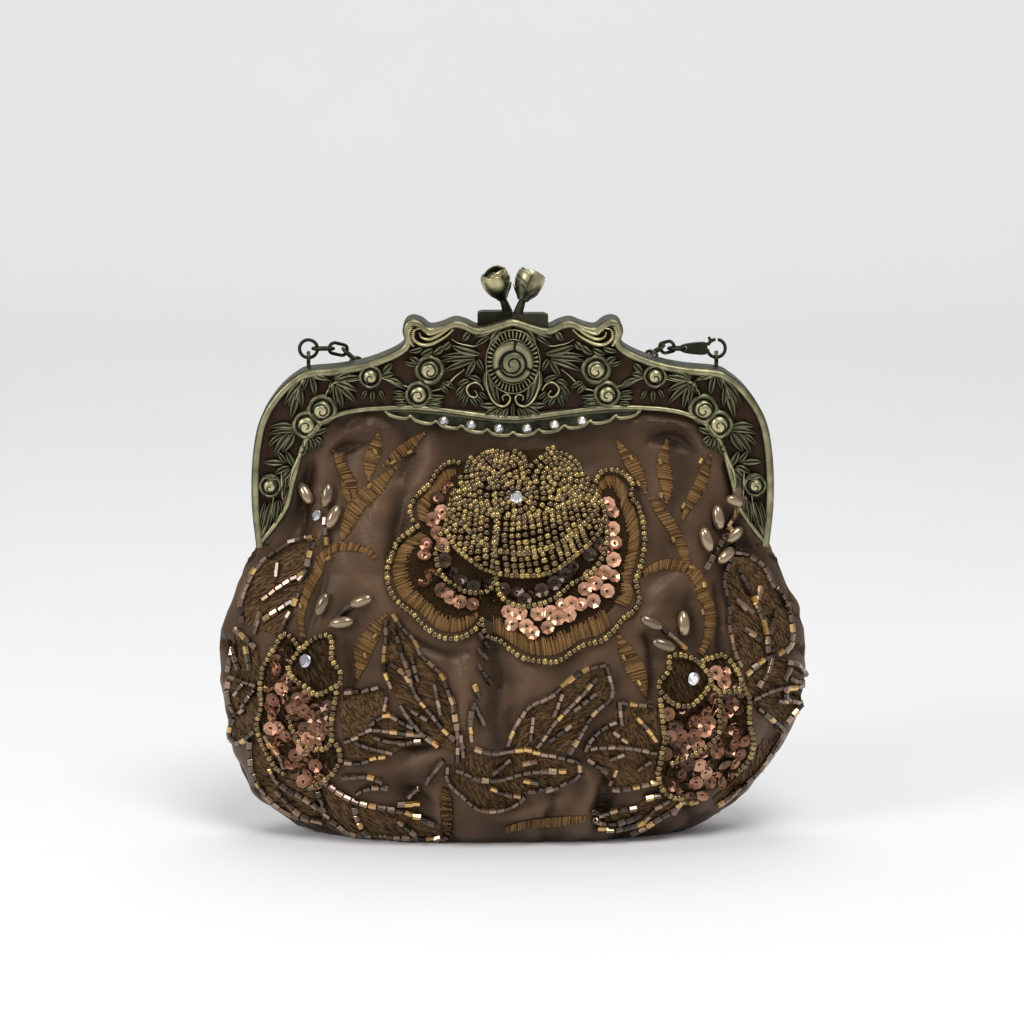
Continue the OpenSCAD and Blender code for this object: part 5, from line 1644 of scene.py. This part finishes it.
class CLUTCH_OT_beadwork(bpy.types.Operator):
    """Sews the middle rose, the side flowers, the leaves and the sprigs on the front"""
    bl_idname = "clutch.beadwork"
    bl_label = "Beadwork"

    def execute(self, context):
        ground = Shared.ground
        cup_work, cup_beads = cups(ground)
        leaf_fill, rose_edge = floss_fill(ground)
        dome_beads, edge_beads = rose_beads(ground)
        for name, work, finish in (
                ("rose_padding", rose_pad(ground), "floss_dark"),
                ("rose_dome_beads", dome_beads, "seed_glass"),
                ("rose_edge_beads", edge_beads, "seed_glass"),
                ("flower_seed_beads", flower_beads(ground), "seed_glass"),
                ("cup_sequins", cup_work, "cup_copper"),
                ("cup_beads", cup_beads, "seed_glass"),
                ("leaf_floss", leaf_fill, "floss_dark"),
                ("rose_floss", rose_edge, "floss_gold"),
                ("sprig_floss", floss_sprigs(ground), "floss_gold"),
                ("leaf_bugles", leaf_bugles(ground), "bugle_glass"),
                ("rice_pearls", rice_pearls(ground), "pearl"),
                ("sewn_stones", sewn_stones(ground), "stone")):
            piece(work, name, finish, None, "stone" if finish == "stone" else "satin",
                  smooth=finish not in ("stone", "bugle_glass", "cup_copper"))
        return {"FINISHED"}


class CLUTCH_OT_stage(bpy.types.Operator):
    """Sets the paper floor, the soft lamps and the camera"""
    bl_idname = "clutch.stage"
    bl_label = "Stage"

    def execute(self, context):
        scene = context.scene
        reach, wall = 4.0, 1.6
        bend = [(-reach, 0.0)] + [(wall + 0.8 * math.sin(a), 0.8 - 0.8 * math.cos(a))
                                  for a in np.linspace(0, math.pi / 2, 16)] + [(wall + 0.8, reach)]
        work = Work()
        grid = np.array([[(x, y, z) for x in (-reach, reach)] for y, z in bend]) / MM
        work.sheet(grid)
        f = Finish("paper", Roughness=0.95, Specular_IOR_Level=0.1)
        lumps = f.grain(9.0)
        paper = scene.clutch_colours.floor
        tint = f.blend(lumps.between(0.3, 0.7), rgb(paper), rgb([0.99 * c for c in paper]))
        # Painted light: for the camera the paper glows, more the farther back it lies, and its emission
        # brightens the backdrop.
        seen = f.node("LightPath", output="Is Camera Ray")
        far = f.node("SeparateXYZ", None, {0: f.place()}, 1).between(0.3, 2.2)
        glow = f.blend(seen * far, rgb((0, 0, 0)), rgb((1, 1, 1)))
        floor = work.mesh("paper_floor", f.set(Base_Color=tint, Emission_Color=glow, Emission_Strength=0.17))
        power = scene.clutch_sizes.key_power
        lamps = (("key_lamp", (0.35, -0.9, 1.75), 0.9, power),
                 ("left_lamp", (-1.3, -1.0, 0.9), 0.7, power * 0.55),
                 ("top_lamp", (0.0, 0.5, 1.9), 1.1, power * 0.5))
        for name, place, size, watts in lamps:
            data = bpy.data.lights.new(name, "AREA")
            data.shape, data.size, data.energy = "DISK", size, watts
            lamp = bpy.data.objects.new(name, data)
            scene.collection.objects.link(lamp)
            lamp.location = place
            way = Vector((0, 0, 0.08)) - Vector(place)
            lamp.rotation_euler = way.to_track_quat("-Z", "Y").to_euler()
        world = bpy.data.worlds.new("studio")
        world.use_nodes = True
        sky = Nodes(world.node_tree)
        background = sky.tree.nodes["Background"].inputs
        seen = sky.node("LightPath", output="Is Camera Ray")
        sky.feed(background["Color"], sky.blend(seen, rgb((1, 1, 1)), rgb((2.2, 2.2, 2.2))))
        sky.feed(background["Strength"], 0.4)
        scene.world = world
        data = bpy.data.cameras.new("camera")
        data.sensor_width = Camera.sensor
        data.lens = Camera.sensor * Camera.away * PX_PER_MM / PIXELS
        data.clip_end = 20
        camera = bpy.data.objects.new("camera", data)
        scene.collection.objects.link(camera)
        camera.location = Camera.eye() * MM
        camera.rotation_euler = Vector(Camera.axes()[2]).to_track_quat("-Z", "Y").to_euler()
        scene.camera = camera
        scene.view_settings.view_transform = "Standard"
        return {"FINISHED"}


class CLUTCH_PT_panel(bpy.types.Panel):
    """Lists the colours, sizes and steps"""
    bl_label = "Evening Clutch"
    bl_idname = "CLUTCH_PT_panel"
    bl_space_type = "VIEW_3D"
    bl_region_type = "UI"
    bl_category = "Clutch"

    def draw(self, context):
        for group in (context.scene.clutch_colours, context.scene.clutch_sizes):
            for name in group.__annotations__:
                self.layout.prop(group, name)
        for step in STEPS:
            self.layout.operator(step.bl_idname)


STEPS = (CLUTCH_OT_castings, CLUTCH_OT_plain_metal, CLUTCH_OT_satin, CLUTCH_OT_beadwork, CLUTCH_OT_stage)
CLASSES = (ClutchColours, ClutchSizes, *STEPS, CLUTCH_PT_panel)


def register():
    for kind in CLASSES:
        bpy.utils.register_class(kind)
    bpy.types.Scene.clutch_colours = bpy.props.PointerProperty(type=ClutchColours)
    bpy.types.Scene.clutch_sizes = bpy.props.PointerProperty(type=ClutchSizes)


def unregister():
    del bpy.types.Scene.clutch_colours
    del bpy.types.Scene.clutch_sizes
    for kind in reversed(CLASSES):
        bpy.utils.unregister_class(kind)


def main():
    register()
    for step in STEPS:
        prefix, name = step.bl_idname.split(".")
        getattr(getattr(bpy.ops, prefix), name)()


if __name__ == "__main__":
    main()
